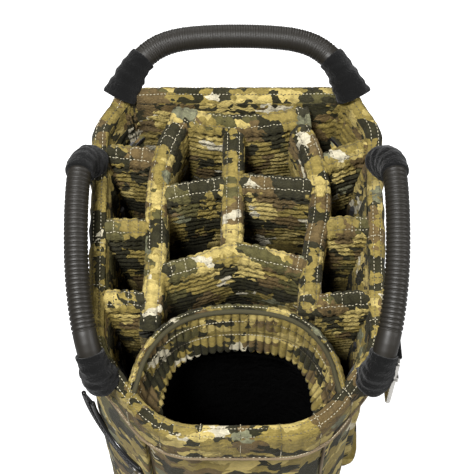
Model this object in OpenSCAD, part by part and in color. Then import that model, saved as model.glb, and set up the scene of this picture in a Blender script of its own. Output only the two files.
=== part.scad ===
/* [Collar] */
// Height of the collar's top plane above the ground, at the bag's axis
collar_z = 830; // [780:5:860]
// Tilt of the collar, its rear edge the higher
slope = 22; // [16:1:26]
// Half the collar's width
collar_half_w = 131; // [126:1:134]
// Rear edge of the collar, behind the axis
collar_rear = 134; // [130:1:138]
// Front edge of the collar, ahead of the axis
collar_front = 160; // [156:1:164]
// Width of the padded rim
rim_w = 14; // [12:1:16]
// Height of the collar band, measured square to its plane
band_h = 46; // [40:1:50]

/* [Dividers] */
// Width of the long padded dividers
divider_w = 19; // [16:1:20]
// Width of the padded crossbars
bar_w = 18; // [15:1:19]
// Depth of the padding below the collar plane
pad_depth = 34; // [28:1:40]
// Thickness of the fabric walls that hang from the bars
wall_t = 3; // [2:0.5:4]

/* [Body] */
// Half the body's width
body_half_w = 116; // [114:1:118]
// Rear face of the body, behind the axis
body_rear = 124; // [120:1:125]
// Front face of the body, ahead of the axis
body_front = 144; // [142:1:146]
// Thickness of the foam-backed body fabric
skin_t = 4; // [3:0.5:5]
// Height of the moulded base cup
base_h = 72; // [66:1:80]

/* [Handles] */
// Radius of the rubber grips
grip_r = 11; // [10:0.5:12]
// Radius of the side grips
side_grip_r = 10.5; // [9.5:0.5:11]

/* [Stand] */
// Height of the leg pivots above the ground
leg_pivot_z = 752; // [740:1:756]
// Distance of each leg's pivot from the bag's middle plane
leg_x = 40; // [38:1:44]
// Length of each leg from its pivot to the end of its tube
leg_len = 660; // [640:5:670]
// Turn of each leg's hinge pin out of the bag's width, which splays the feet
splay = 25; // [20:1:28]
// Travel of the foot lever
lever_tilt = 25; // [20:1:25]

/* [Hidden] */
$fn = 40;

camo = "#8a7c4e";
camo_dark = "#4c4a36";
black_fabric = "#1b1b1a";
grip_rubber = "#37322b";
steel = "#a9a69c";
aluminium = "#b9bcbe";
black_plastic = "#1f1f20";

tan_slope = tan(slope);
huge = 700;

// ---------- outlines in plan ----------

function unit(v) = v / norm(v);

// One rounded corner at b, between the directions to a and c
function corner_arc(a, b, c, r, steps) =
    let (u = unit(a - b), w = unit(c - b), half = acos(u * w) / 2)
    let (centre = b + unit(u + w) * r / sin(half), start = b + u * r / tan(half) - centre)
    let (a0 = atan2(start.y, start.x), turn = 180 - 2 * half)
    [for (i = [0:steps]) centre + r * [cos(a0 + turn * i / steps), sin(a0 + turn * i / steps)]];

// A convex outline, anticlockwise, with each corner rounded by its own radius
function rounded(p, r, steps = 6) =
    let (n = len(p))
    [for (i = [0:n - 1]) each corner_arc(p[(i + n - 1) % n], p[i], p[(i + 1) % n], r[i], steps)];

// The same corners moved inwards by d
function inset(p, d) =
    let (n = len(p))
    [for (i = [0:n - 1])
        let (u = unit(p[(i + n - 1) % n] - p[i]), w = unit(p[(i + 1) % n] - p[i]))
        p[i] + unit(u + w) * d / sin(acos(u * w) / 2)];

// Right-hand corners, front to rear, followed by their mirror images
function mirrored(p) = concat(p, [for (i = [len(p) - 1:-1:0]) [-p[i].x, p[i].y]]);
function doubled(v) = concat(v, [for (i = [len(v) - 1:-1:0]) v[i]]);

function collar_outline(d = 0) =
    rounded(
        inset(mirrored([
            [72, -collar_front], [collar_half_w - 2, -94],
            [collar_half_w, 98], [106, collar_rear]
        ]), d),
        doubled([for (r = [74, 60, 34, 26]) max(3, r - d)])
    );

function body_outline(d = 0) =
    rounded(
        inset(mirrored([
            [64, -body_front], [body_half_w, -76], [body_half_w, 84], [88, body_rear]
        ]), d),
        doubled([for (r = [52, 44, 30, 34]) max(3, r - d)])
    );

// Open curve with its corners cut twice, its ends kept
function cut_corners(p) = concat(
    [p[0]],
    [for (i = [0:len(p) - 2]) each [p[i] * 0.75 + p[i + 1] * 0.25, p[i] * 0.25 + p[i + 1] * 0.75]],
    [p[len(p) - 1]]
);
function smooth(p, n = 2) = n == 0 ? p : smooth(cut_corners(p), n - 1);

function heading(p, i) =
    i == 0 ? unit(p[1] - p[0])
    : i == len(p) - 1 ? unit(p[i] - p[i - 1])
    : unit(unit(p[i] - p[i - 1]) + unit(p[i + 1] - p[i]));
function side_step(p, i, s) = p[i] + s * [-heading(p, i).y, heading(p, i).x];

// Strip of width w along the curve p, shifted sideways by s
function ribbon(p, w, s = 0) = concat(
    [for (i = [0:len(p) - 1]) side_step(p, i, s + w / 2)],
    [for (i = [len(p) - 1:-1:0]) side_step(p, i, s - w / 2)]
);

// ---------- solids that follow the collar's tilted plane ----------

// Space between two planes parallel to the collar plane
module slab(low, high) {
    translate([0, 0, collar_z]) rotate([slope, 0, 0])
        translate([-huge / 2, -huge / 2, low]) cube([huge, huge, high - low]);
}

module tilted_prism(outline, low, high) {
    intersection() {
        translate([0, 0, collar_z - 200]) linear_extrude(400) polygon(outline);
        slab(low, high);
    }
}

// Vertical wall from the base's floor up to a plane parallel to the collar
module hung_wall(outline, top) {
    difference() {
        translate([0, 0, base_floor_z]) linear_extrude(collar_z + 100 - base_floor_z) polygon(outline);
        slab(top, 400);
    }
}

// The fabric walls end on the base cup's upper edge
base_floor_z = base_h;

// ---------- centre lines of the dividers ----------

left_line = smooth([[-50, 108], [-66, 78], [-73, 40], [-71, -11], [-76, -72]]);
right_line = smooth([[56, 100], [70, 74], [77, 31], [66, -11], [63, -58]]);
centre_line = [[-3, 97], [-4.5, -3]];
arch_line = smooth([[-92, -124], [-82, -90], [-52, -62], [2, -54], [54, -62], [83, -90], [92, -124]]);
front_bar_line = smooth([[-72, -28], [-30, -18], [-4, -8], [20, -12], [68, -24]]);
rear_bar_line = smooth([[-60, 110], [-20, 101], [22, 101], [66, 110]], 1);

// Pad and hanging wall of one bar, inside the rim and cut back to the bars that it meets
module bar(line, w, pad_top = -2) {
    difference() {
        union() {
            intersection() {
                tilted_prism(ribbon(line, w), -pad_depth, pad_top);
                linear_extrude(1200) polygon(collar_outline(rim_w));
            }
            intersection() {
                hung_wall(ribbon(line, wall_t), -pad_depth);
                linear_extrude(1200) polygon(body_outline(skin_t));
            }
        }
        children();
    }
}

module solid_line(line, w) {
    linear_extrude(1200) polygon(ribbon(line, w));
}

// ---------- base ----------

lever_axis = [28, 8];
hinge_r = 6;
pin_r = 3;
bevel_angle = lever_tilt;
knuckle_x = [-52, 0, 52];
knuckle_w = 20;

// Everything below the bevelled underside, raised square to it by lift
module below_bevel(lift) {
    translate([0, lever_axis.x, lever_axis.y]) rotate([bevel_angle, 0, 0])
        translate([-huge / 2, -huge / 2, -huge - 1 + lift]) cube([huge, huge, huge]);
}

module base_form(d, floor_lift) {
    difference() {
        translate([0, 0, 4 + floor_lift]) linear_extrude(base_h - 4) polygon(body_outline(d));
        intersection() {
            below_bevel(floor_lift);
            translate([-huge / 2, 0, -1]) cube([huge, huge, huge]);
        }
    }
}

module base_cup() {
    color(black_plastic) difference() {
        union() {
            difference() {
                intersection() {
                    base_form(-3, 0);
                    translate([0, 0, -1]) linear_extrude(base_h + 1) polygon(body_outline(-3));
                }
                base_form(skin_t, 6);
            }
            intersection() {
                translate([-72, 14, 4]) cube([144, 30, 24]);
                base_form(0, 0);
            }
        }
        for (x = knuckle_x)
            translate([x - knuckle_w / 2 - 0.5, lever_axis.x - hinge_r - 2, 0])
                cube([knuckle_w + 1, 2 * hinge_r + 12, lever_axis.y + hinge_r + 1]);
        translate([-80, lever_axis.x, lever_axis.y]) rotate([0, 90, 0]) cylinder(r = pin_r, h = 160);
    }
}

module base_sole() {
    color(grip_rubber) intersection() {
        linear_extrude(4) polygon(body_outline(4));
        translate([-huge / 2, -huge, 0]) cube([huge, huge + 18, 10]);
    }
}

rod_x = 13;
rod_y = body_rear + 16;
lever_rear = rod_y + 7;

module foot_lever() {
    color(black_plastic) difference() {
        union() {
            intersection() {
                linear_extrude(5) polygon(body_outline(3));
                translate([-huge / 2, lever_axis.x + hinge_r + 2, 0]) cube([huge, huge, 10]);
            }
            translate([-rod_x - 12, body_rear - 20, 0]) cube([2 * rod_x + 24, lever_rear - body_rear + 20, 5]);
            for (x = knuckle_x) translate([x - knuckle_w / 2, lever_axis.x, 0]) {
                cube([knuckle_w, hinge_r + 3, 5]);
                translate([0, 0, lever_axis.y]) rotate([0, 90, 0]) cylinder(r = hinge_r, h = knuckle_w);
            }
        }
        translate([-90, lever_axis.x, lever_axis.y]) rotate([0, 90, 0])
            cylinder(r = pin_r + 0.05, h = 180);
    }
}

module lever_pin() {
    color(steel) translate([-71, lever_axis.x, lever_axis.y]) rotate([0, 90, 0]) cylinder(r = pin_r, h = 142);
}

// ---------- body ----------

corner_x = 82;

module skin(top = -band_h) {
    difference() {
        hung_wall(body_outline(0), top);
        translate([0, 0, -1]) linear_extrude(1000) polygon(body_outline(skin_t));
    }
}

module side_of_body(side) {
    intersection() {
        skin();
        translate([side > 0 ? corner_x : -corner_x - 200, -200, 0]) cube([200, 400, 1000]);
    }
}

module front_panel() {
    color(camo) intersection() {
        skin();
        translate([-corner_x, -200, 0]) cube([2 * corner_x, 200, 1000]);
    }
}

module left_panel() { color(camo) side_of_body(-1); }
module right_panel() { color(camo) side_of_body(1); }

module spine_panel() {
    color(camo_dark) intersection() {
        skin();
        translate([-corner_x, 0, 0]) cube([2 * corner_x, 200, 1000]);
    }
}

stay_r = 3;
stay_x = body_half_w - skin_t - stay_r - 0.2;
stay_spots = [for (x = [-stay_x, stay_x], y = [-62, 56]) [x, y]];

module body_stays() {
    color(black_plastic) for (p = stay_spots)
        translate([p.x, p.y, base_h])
            cylinder(r = stay_r, h = collar_z + p.y * tan_slope - 56 - base_h);
}

// ---------- collar ----------

module collar_ring(outer, inner, low, high) {
    difference() {
        tilted_prism(collar_outline(outer), low, high);
        linear_extrude(1200) polygon(collar_outline(inner));
    }
}

// Flange of the collar frame, which sits on the body's upper edge
module flange(drop) {
    difference() {
        tilted_prism(collar_outline(5), -band_h - drop, -band_h + 4);
        linear_extrude(1200) polygon(body_outline(skin_t));
    }
}

// Stiff ring inside the padding
module collar_frame() {
    color(black_plastic) difference() {
        union() {
            collar_ring(5, 9, -band_h, -10);
            flange(0);
        }
        screws();
    }
}

module collar_pad() {
    color(camo) difference() {
        collar_ring(0, rim_w, -band_h, 0);
        collar_ring(5, 9, -band_h - 1, -10);
        flange(1);
        screws();
    }
}

// ---------- top cuff dividers ----------

module divider_left() {
    color(camo) bar(left_line, divider_w) solid_line(arch_line, 6);
}

module divider_right() {
    color(camo) bar(right_line, divider_w) solid_line(arch_line, 6);
}

module divider_centre() {
    color(camo) bar(centre_line, divider_w) solid_line(front_bar_line, bar_w);
}

module cross(line) {
    bar(line, bar_w) {
        solid_line(left_line, divider_w);
        solid_line(right_line, divider_w);
        solid_line(centre_line, divider_w);
    }
}

module crossbar_rear() {
    color(camo_dark) bar(rear_bar_line, bar_w) {
        solid_line(left_line, divider_w);
        solid_line(right_line, divider_w);
        solid_line(centre_line, divider_w);
    }
}

module crossbar_left_rear() { color(camo) cross([[-125, 77], [-68, 70]]); }
module crossbar_left_middle() { color(camo_dark) cross([[-125, 11], [-72, 11]]); }
module crossbar_left_front() { color(camo) cross([[-125, -48], [-74, -50]]); }
module crossbar_right_rear() { color(camo_dark) cross([[72, 66], [125, 83]]); }
module crossbar_right_middle() { color(camo) cross([[72, 13], [125, 13]]); }
module crossbar_right_front() { color(camo_dark) cross([[64, -52], [125, -48]]); }
module crossbar_centre_left() { color(camo) cross([[-70, 38], [-5, 49]]); }
module crossbar_centre_right() { color(camo_dark) cross([[-5, 50], [75, 45]]); }

module crossbar_centre_front() {
    color(camo) bar(front_bar_line, bar_w) {
        solid_line(left_line, divider_w);
        solid_line(right_line, divider_w);
    }
}

module putter_well_arch() {
    color(camo_dark) bar(arch_line, 6, 0);
}

// Pleated throat of the putter well, two tiers that step inwards
module putter_well_gusset() {
    color(camo) intersection() {
        union() {
            tilted_prism(ribbon(arch_line, 5, -6), -30, -4);
            tilted_prism(ribbon(arch_line, 8, -10.5), -54, -24);
        }
        linear_extrude(1200) polygon(body_outline(skin_t + 2));
    }
}

// ---------- handles ----------

function cross3(a, b) = [a.y * b.z - a.z * b.y, a.z * b.x - a.x * b.z, a.x * b.y - a.y * b.x];

function heading3(p, i) = unit(p[min(i + 1, len(p) - 1)] - p[max(i - 1, 0)]);

// Tube of radius r along the points p, closed at both ends
module sweep(p, r, sides = 16, ref = [0, 0, 1]) {
    n = len(p);
    rings = [for (i = [0:n - 1])
        let (t = heading3(p, i), a = unit(cross3(ref, t)), b = cross3(t, a))
        for (k = [0:sides - 1]) p[i] + r * (a * cos(360 * k / sides) + b * sin(360 * k / sides))];
    polyhedron(
        points = rings,
        faces = concat(
            [for (i = [0:n - 2], k = [0:sides - 1])
                [i * sides + k, (i + 1) * sides + k, (i + 1) * sides + (k + 1) % sides, i * sides + (k + 1) % sides]],
            [[for (k = [0:sides - 1]) k]],
            [[for (k = [sides - 1:-1:0]) (n - 1) * sides + k]]
        ),
        convexity = 6
    );
}

// A point of the collar's tilted frame: u across, v up the slope, w square to it
function on_collar(u, v, w) = [
    u, v * cos(slope) - w * sin(slope), collar_z + v * sin(slope) + w * cos(slope)
];

function placed(p) = [for (q = p) on_collar(q.x, q.y, q.z)];

rear_handle_line = placed(smooth([
    [-104, 138, -4], [-98, 150, 2], [-84, 170, 5], [-62, 183, 6], [-26, 187.5, 6],
    [26, 187.5, 6], [62, 183, 6], [84, 170, 5], [98, 150, 2], [104, 138, -4]
]));

function side_handle_line(side) = placed([for (q = smooth([
    [132, 68, 2], [135.5, 64, 14], [137.5, 52, 25], [138, 12, 29], [136, -34, 29], [131, -72, 28],
    [125, -100, 24], [120, -116, 12], [117, -122, 0]
])) [side * q.x, q.y, q.z]]);

// A grip, cut off flush where it lands on the collar
module grip(line, r) {
    difference() {
        sweep(line, r);
        tilted_prism(collar_outline(0), -band_h - 20, 0);
    }
}

module rear_handle_grip() { color(grip_rubber) grip(rear_handle_line, grip_r); }
module left_handle_grip() { color(grip_rubber) grip(side_handle_line(-1), side_grip_r); }
module right_handle_grip() { color(grip_rubber) grip(side_handle_line(1), side_grip_r); }

// Fabric cuff around a handle's root: a short fat sleeve less the handle itself
module cuff(u, v, w, tilt) {
    translate(on_collar(u, v, w)) rotate([slope, 0, 0]) rotate(tilt) translate([0, 0, -16])
        cylinder(r = 17, h = 32);
}

cuff_wrap = 0.4;

module cuff_clearance() {
    tilted_prism(collar_outline(0), -band_h - 60, 0);
    linear_extrude(1200) polygon(collar_outline(rim_w));
}

module rear_handle_cuffs() {
    color(black_fabric) difference() {
        for (s = [-1, 1]) cuff(s * 101, 146, 1, [-68, 0, -s * 22]);
        sweep(rear_handle_line, grip_r + cuff_wrap);
        cuff_clearance();
    }
}

module side_handle_cuffs(side) {
    difference() {
        union() {
            cuff(side * 135, 64, 14, [-20, 0, 0]);
            cuff(side * 121, -114, 14, [26, 0, 0]);
        }
        sweep(side_handle_line(side), side_grip_r + cuff_wrap);
        cuff_clearance();
    }
}

module left_handle_cuffs() { color(black_fabric) side_handle_cuffs(-1); }
module right_handle_cuffs() { color(black_fabric) side_handle_cuffs(1); }

// Screws that hold the handles' feet to the collar frame, heads inwards
module screws() {
    for (s = [-1, 1], v = [-70, 44])
        translate(on_collar(s * (collar_half_w - 9), v, -28)) rotate([0, -s * 90, 0]) {
            cylinder(r = 4, h = 2);
            translate([0, 0, -6]) cylinder(r = 2, h = 7);
        }
}

module handle_screws() { color(steel) screws(); }

// ---------- pockets ----------

pocket_t = 3;

// Side pocket on the left: it wraps the body's front corner with one slanted face
apparel_z = [180, 728];
apparel_corners = [[-70, -121], [-84, -132], [-150, -58], [-150, 54], [-118, 82], [-100, 82], [-70, -100]];

module pocket_case(corners, z, wall) {
    difference() {
        translate([0, 0, z[0]]) linear_extrude(z[1] - z[0]) polygon(corners);
        translate([0, 0, z[0] + wall]) linear_extrude(z[1] - z[0] - 2 * wall) polygon(inset(corners, wall));
        translate([0, 0, z[0] - 1]) linear_extrude(z[1] - z[0] + 2) polygon(body_outline(0));
    }
}

module apparel_pocket() { color(camo) pocket_case(apparel_corners, apparel_z, pocket_t); }

valuables_z = [470, 640];
valuables_x = body_half_w + 16;
valuables_corners = [[110, -62], [valuables_x, -54], [valuables_x, 20], [110, 28]];

module valuables_pocket() { color(camo) pocket_case(valuables_corners, valuables_z, pocket_t); }

ball_z = [150, 500];
ball_y = body_front + 32;
ball_corners = [[-66, -118], [-58, -ball_y], [58, -ball_y], [66, -118]];

module ball_pocket() { color(camo) pocket_case(ball_corners, ball_z, pocket_t); }

zip_t = 2;
zip_w = 14;
coil_w = 5;
coil_t = 1.4;
slider_l = 12;
slider_w = 9;
post_z = zip_t + 5;
post_r = 1.2;

// Straight coil zip on its tape, along local Y, standing up in local Z
module zip(length) {
    translate([-zip_w / 2, 0, 0]) cube([zip_w, length, zip_t]);
    translate([-coil_w / 2, 0, zip_t]) cube([coil_w, length, coil_t]);
}

// Slider: a plate over the coil, with a bored lug for the pull tab's pin
module slider() {
    difference() {
        union() {
            translate([-slider_w / 2, 0, zip_t + coil_t + 0.3]) cube([slider_w, slider_l, 1.3]);
            translate([-1.6, slider_l / 2 - 2.4, zip_t + coil_t + 1]) cube([3.2, 4.8, post_z - zip_t]);
        }
        translate([-10, slider_l / 2, post_z]) rotate([0, 90, 0]) cylinder(r = post_r + 0.05, h = 20);
    }
}

// Pull tab: a pin through the lug, two side arms and a holed tab
module puller(length) {
    translate([0, slider_l / 2, post_z]) {
        translate([-4.8, 0, 0]) rotate([0, 90, 0]) cylinder(r = post_r, h = 9.6);
        for (s = [-1, 1]) translate([s * 3.6 - 1.2, 0, -1]) cube([2.4, length, 2]);
        difference() {
            translate([-4.8, length - 0.1, -1]) cube([9.6, 12, 2]);
            translate([0, length + 7, -3]) cylinder(r = 2.5, h = 6);
        }
    }
}

// Arc zip on the slanted face of the apparel pocket
face_start = apparel_corners[2];
face_run = unit(apparel_corners[1] - apparel_corners[2]);
arc_z = 640;
arc_centre = 57;
arc_r = 52;
arc_span = [180, 306];
arc_park = 291;

module on_arc(angle) {
    translate([face_start.x, face_start.y, arc_z])
        rotate([0, 0, atan2(face_run.y, face_run.x)]) rotate([90, 0, 0])
            translate([arc_centre, 0, 0]) rotate([0, 0, angle]) children();
}

module apparel_zipper() {
    color(black_plastic) on_arc(arc_span[0]) {
        rotate_extrude(angle = arc_span[1] - arc_span[0])
            translate([arc_r - zip_w / 2, 0]) square([zip_w, zip_t]);
        rotate_extrude(angle = arc_span[1] - arc_span[0])
            translate([arc_r - coil_w / 2, zip_t]) square([coil_w, coil_t]);
    }
}

module apparel_slider() { color(steel) on_arc(arc_park) translate([arc_r, 0, 0]) slider(); }
module apparel_puller() { color(steel) on_arc(arc_park) translate([arc_r, 0, 0]) puller(10); }

// Straight zip across the top of the ball pocket
ball_zip_l = 100;
ball_park = 84;

module on_ball_face(x) {
    translate([x, -ball_y, ball_z[1] - 28]) rotate([90, 0, 0]) rotate([0, 0, -90]) children();
}

module ball_zipper() { color(black_plastic) on_ball_face(-ball_zip_l / 2) zip(ball_zip_l); }
module ball_slider() { color(steel) on_ball_face(-ball_zip_l / 2 + ball_park) slider(); }
module ball_puller() { color(steel) on_ball_face(-ball_zip_l / 2 + ball_park) puller(10); }

// Upright zip on the valuables pocket
valuables_zip_l = 140;
valuables_park = 124;

module valuables_zipper() {
    color(black_plastic) translate([valuables_x, -17, valuables_z[0] + 15])
        rotate([90, 0, 90]) zip(valuables_zip_l);
}

module at_valuables_slider() {
    translate([valuables_x, -17, valuables_z[0] + 15 + valuables_park]) rotate([90, 0, 90]) children();
}

module valuables_slider() { color(steel) at_valuables_slider() slider(); }
module valuables_puller() { color(steel) at_valuables_slider() translate([0, slider_l, 0]) mirror([0, 1, 0]) puller(10); }

// ---------- carry strap ----------

strap_y = 52;
strap_x = body_half_w;

module strap_webbing() {
    color(black_fabric) translate([strap_x, strap_y - 15, 180]) cube([3, 30, 560]);
}

module strap_pad() {
    color(black_fabric) translate([strap_x + 3, strap_y, 475]) rotate([0, 90, 0])
        linear_extrude(14) hull() for (s = [-1, 1]) translate([s * 130, 0]) circle(r = 26, $fn = 32);
}

module strap_buckles() {
    color(black_plastic) for (z = [250, 690]) difference() {
        translate([strap_x + 3, strap_y - 21, z]) cube([5, 42, 30]);
        for (dz = [6, 18]) translate([strap_x, strap_y - 16, z + dz]) cube([20, 32, 6]);
    }
}

// ---------- legs ----------

leg_y = body_rear + 23;
leg_r = 8;
leg_bore = 6.8;
leg_pin_r = 2.5;
knuckle_r = 9;
cheek_in = 8.4;
cheek_t = 5;

module leg_frame(side) {
    translate([side * leg_x, leg_y, leg_pivot_z]) rotate([0, 0, -side * splay]) children();
}

module along_x(r, l) { rotate([0, 90, 0]) cylinder(r = r, h = l, center = true); }

module leg_bracket() {
    color(black_plastic) intersection() {
        difference() {
            union() {
                translate([-66, body_rear, leg_pivot_z - 22]) cube([132, 9, 44]);
                for (side = [-1, 1]) leg_frame(side) for (s = [-1, 1])
                    translate([s * (cheek_in + cheek_t / 2), 0, 0]) {
                        along_x(11, cheek_t);
                        translate([-cheek_t / 2, -34, -11]) cube([cheek_t, 34, 22]);
                    }
            }
            for (side = [-1, 1]) leg_frame(side) along_x(leg_pin_r, 60);
        }
        translate([-100, body_rear, 0]) cube([200, 60, 1000]);
    }
}

module leg_pins() {
    color(steel) for (side = [-1, 1]) leg_frame(side) along_x(leg_pin_r, 2 * (cheek_in + cheek_t) + 2);
}

module leg(side) {
    color(aluminium) leg_frame(side) difference() {
        union() {
            along_x(knuckle_r, 2 * cheek_in - 0.8);
            translate([0, 0, -leg_len]) cylinder(r = leg_r, h = leg_len);
        }
        translate([0, 0, -leg_len - 1]) cylinder(r = leg_bore, h = leg_len - 14);
        along_x(leg_pin_r + 0.05, 60);
    }
}

module leg_foot(side) {
    color(grip_rubber) leg_frame(side) translate([0, 0, -leg_len]) difference() {
        translate([0, 0, -22]) cylinder(r1 = 9, r2 = leg_r + 3, h = 52);
        cylinder(r = leg_r, h = 40);
    }
}

module left_leg() { leg(-1); }
module right_leg() { leg(1); }
module left_leg_foot() { leg_foot(-1); }
module right_leg_foot() { leg_foot(1); }

// ---------- push rods ----------

rod_r = 3;
rod_z = [6.5, 672];
guide_z = [130, 400, 640];

module push_rods() {
    color(steel) {
        for (s = [-1, 1]) translate([s * rod_x, rod_y, rod_z[0]]) cylinder(r = rod_r, h = rod_z[1] - rod_z[0]);
        translate([0, rod_y, rod_z[1] - rod_r]) along_x(rod_r, 2 * rod_x);
    }
}

module rod_guides() {
    color(black_plastic) for (z = guide_z) difference() {
        translate([-22, body_rear, z]) cube([44, rod_y + 7 - body_rear, 18]);
        for (s = [-1, 1]) translate([s * rod_x, rod_y, z - 1]) cylinder(r = rod_r + 0.06, h = 20);
    }
}

// ---------- towel clip ----------

clip_x = collar_half_w + 7;
clip_y = -86;
clip_z = 784;
clip_r = 2.5;
clip_l = 70;
clip_w = 30;
gate_top = 26;
gate_bottom = 60;

module clip_bar_y(y0, y1, z) {
    translate([clip_x, clip_y + y0, clip_z - z]) rotate([-90, 0, 0]) cylinder(r = clip_r, h = y1 - y0);
}

module clip_bar_z(y, z0, z1) {
    translate([clip_x, clip_y + y, clip_z - z1]) cylinder(r = clip_r, h = z1 - z0);
}

module clip_loop() {
    color(black_fabric) difference() {
        translate([collar_half_w, clip_y - 9, clip_z - 8])
            cube([clip_x - collar_half_w + 5, 18, 14]);
        translate([clip_x, clip_y - 20, clip_z]) rotate([-90, 0, 0]) cylinder(r = clip_r + 0.05, h = 40);
    }
}

module towel_clip() {
    h = clip_w / 2;
    color(steel) difference() {
        union() {
            clip_bar_y(-h, h, 0);
            clip_bar_y(-h, h, clip_l);
            clip_bar_z(h, 0, clip_l);
            clip_bar_z(-h, 0, gate_top - 3.2);
            clip_bar_z(-h, gate_bottom + 0.6, clip_l);
            for (s = [-1, 1]) translate([clip_x + s * 2.9 - 0.7, clip_y - h - clip_r, clip_z - gate_top - 3])
                cube([1.4, 2 * clip_r, 6.4]);
            for (y = [-h, h], z = [0, clip_l]) translate([clip_x, clip_y + y, clip_z - z]) sphere(r = clip_r);
            translate([clip_x - 3.6, clip_y - h - clip_r, clip_z - gate_top + 3]) cube([7.2, 2 * clip_r, 2]);
        }
        translate([clip_x, clip_y - h, clip_z - gate_top]) along_x(1, 20);
    }
}

module clip_gate() {
    h = clip_w / 2;
    color(steel) difference() {
        union() {
            clip_bar_z(-h, gate_top, gate_bottom);
            translate([clip_x, clip_y - h, clip_z - gate_top]) along_x(2, 3.8);
            translate([clip_x, clip_y - h, clip_z - gate_top]) along_x(0.95, 7);
        }
        for (s = [-1, 1]) translate([clip_x + s * 2.9 - 1, clip_y - h - 4, clip_z - gate_top - 4])
            difference() { cube([2, 8, 8]); translate([-1, 4, 4]) rotate([0, 90, 0]) cylinder(r = 0.95, h = 9); }
    }
}

base_cup();
base_sole();
foot_lever();
lever_pin();
front_panel();
left_panel();
right_panel();
spine_panel();
body_stays();
collar_frame();
collar_pad();
divider_left();
divider_right();
divider_centre();
crossbar_rear();
crossbar_left_rear();
crossbar_left_middle();
crossbar_left_front();
crossbar_right_rear();
crossbar_right_middle();
crossbar_right_front();
crossbar_centre_left();
crossbar_centre_right();
crossbar_centre_front();
putter_well_arch();
putter_well_gusset();
rear_handle_grip();
left_handle_grip();
right_handle_grip();
rear_handle_cuffs();
left_handle_cuffs();
right_handle_cuffs();
handle_screws();
apparel_pocket();
apparel_zipper();
apparel_slider();
apparel_puller();
ball_pocket();
ball_zipper();
ball_slider();
ball_puller();
valuables_pocket();
valuables_zipper();
valuables_slider();
valuables_puller();
strap_pad();
strap_webbing();
strap_buckles();
leg_bracket();
leg_pins();
left_leg();
left_leg_foot();
right_leg();
right_leg_foot();
push_rods();
rod_guides();
clip_loop();
towel_clip();
clip_gate();
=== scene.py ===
"""Golf stand bag: fabric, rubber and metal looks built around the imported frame."""

import math

import bmesh
import bpy
from bpy.props import FloatProperty, FloatVectorProperty, PointerProperty
from bpy.types import Operator, Panel, PropertyGroup
from mathutils import Matrix, Vector, noise


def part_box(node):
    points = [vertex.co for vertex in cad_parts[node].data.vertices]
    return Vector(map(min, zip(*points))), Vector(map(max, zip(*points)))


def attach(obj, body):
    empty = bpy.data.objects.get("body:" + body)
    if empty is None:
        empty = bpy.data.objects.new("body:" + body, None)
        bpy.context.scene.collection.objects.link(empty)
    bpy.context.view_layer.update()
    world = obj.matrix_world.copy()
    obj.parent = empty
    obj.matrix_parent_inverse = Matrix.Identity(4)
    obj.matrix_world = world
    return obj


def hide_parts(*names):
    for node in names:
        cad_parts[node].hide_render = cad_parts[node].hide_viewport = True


bl_info = {
    "name": "Golf Stand Bag",
    "version": (1, 0, 0),
    "blender": (4, 5, 0),
    "location": "View3D > Sidebar > Golf Bag",
    "description": "Builds the soft and hard pieces of a golf stand bag around its frame",
    "category": "Object",
}

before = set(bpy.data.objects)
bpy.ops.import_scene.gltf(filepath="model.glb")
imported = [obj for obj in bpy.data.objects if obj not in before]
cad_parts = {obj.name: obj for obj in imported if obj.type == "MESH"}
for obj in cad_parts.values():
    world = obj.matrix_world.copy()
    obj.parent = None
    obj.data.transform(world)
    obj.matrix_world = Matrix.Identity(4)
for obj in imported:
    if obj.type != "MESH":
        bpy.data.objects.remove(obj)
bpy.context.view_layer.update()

MM = 0.001
BAG = "bag"

# ---------------------------------------------------------------- plan of the frame

COLLAR_LOW, COLLAR_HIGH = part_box("collar_pad")
COLLAR_SLOPE = math.radians(22)
COLLAR_TAN = math.tan(COLLAR_SLOPE)
COLLAR_Z = COLLAR_HIGH.z - COLLAR_HIGH.y * COLLAR_TAN
COLLAR_HALF = COLLAR_HIGH.x / MM
COLLAR_REAR = COLLAR_HIGH.y / MM
COLLAR_FRONT = -COLLAR_LOW.y / MM
BASE_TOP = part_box("front_panel")[0].z / MM
BODY_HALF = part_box("right_panel")[1].x / MM
BODY_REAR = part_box("spine_panel")[1].y / MM
BODY_FRONT = -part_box("front_panel")[0].y / MM

# Right-hand corners of the two plan outlines, front to rear, and their radii, in millimetres
COLLAR_CORNERS = [(72, -COLLAR_FRONT), (COLLAR_HALF - 2, -94), (COLLAR_HALF, 98), (106, COLLAR_REAR)]
COLLAR_RADII = [74, 60, 34, 26]
BODY_CORNERS = [(64, -BODY_FRONT), (BODY_HALF, -76), (BODY_HALF, 84), (88, BODY_REAR)]
BODY_RADII = [52, 44, 30, 34]

# Centre lines of the padded bars, in plan, in millimetres, and how often their corners are cut
DIVIDERS = {
    "divider_left": ([(-50, 108), (-66, 78), (-73, 40), (-71, -11), (-76, -72)], 2),
    "divider_right": ([(56, 100), (70, 74), (77, 31), (66, -11), (63, -58)], 2),
    "divider_centre": ([(-3, 97), (-4.5, -3)], 0),
}
CROSSBARS = {
    "crossbar_rear": ([(-60, 110), (-20, 101), (22, 101), (66, 110)], 1),
    "crossbar_left_rear": ([(-119, 76), (-74, 71)], 0),
    "crossbar_left_middle": ([(-120, 11), (-76, 11)], 0),
    "crossbar_left_front": ([(-118, -48), (-78, -50)], 0),
    "crossbar_right_rear": ([(76, 67), (118, 81)], 0),
    "crossbar_right_middle": ([(78, 13), (120, 13)], 0),
    "crossbar_right_front": ([(68, -52), (118, -48)], 0),
    "crossbar_centre_left": ([(-66, 39), (-10, 48)], 0),
    "crossbar_centre_right": ([(1, 50), (70, 45)], 0),
    "crossbar_centre_front": ([(-68, -27), (-30, -18), (-4, -8), (20, -12), (64, -23)], 2),
}
ARCH = ([(-92, -124), (-82, -90), (-52, -62), (2, -54), (54, -62), (83, -90), (92, -124)], 3)

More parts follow.
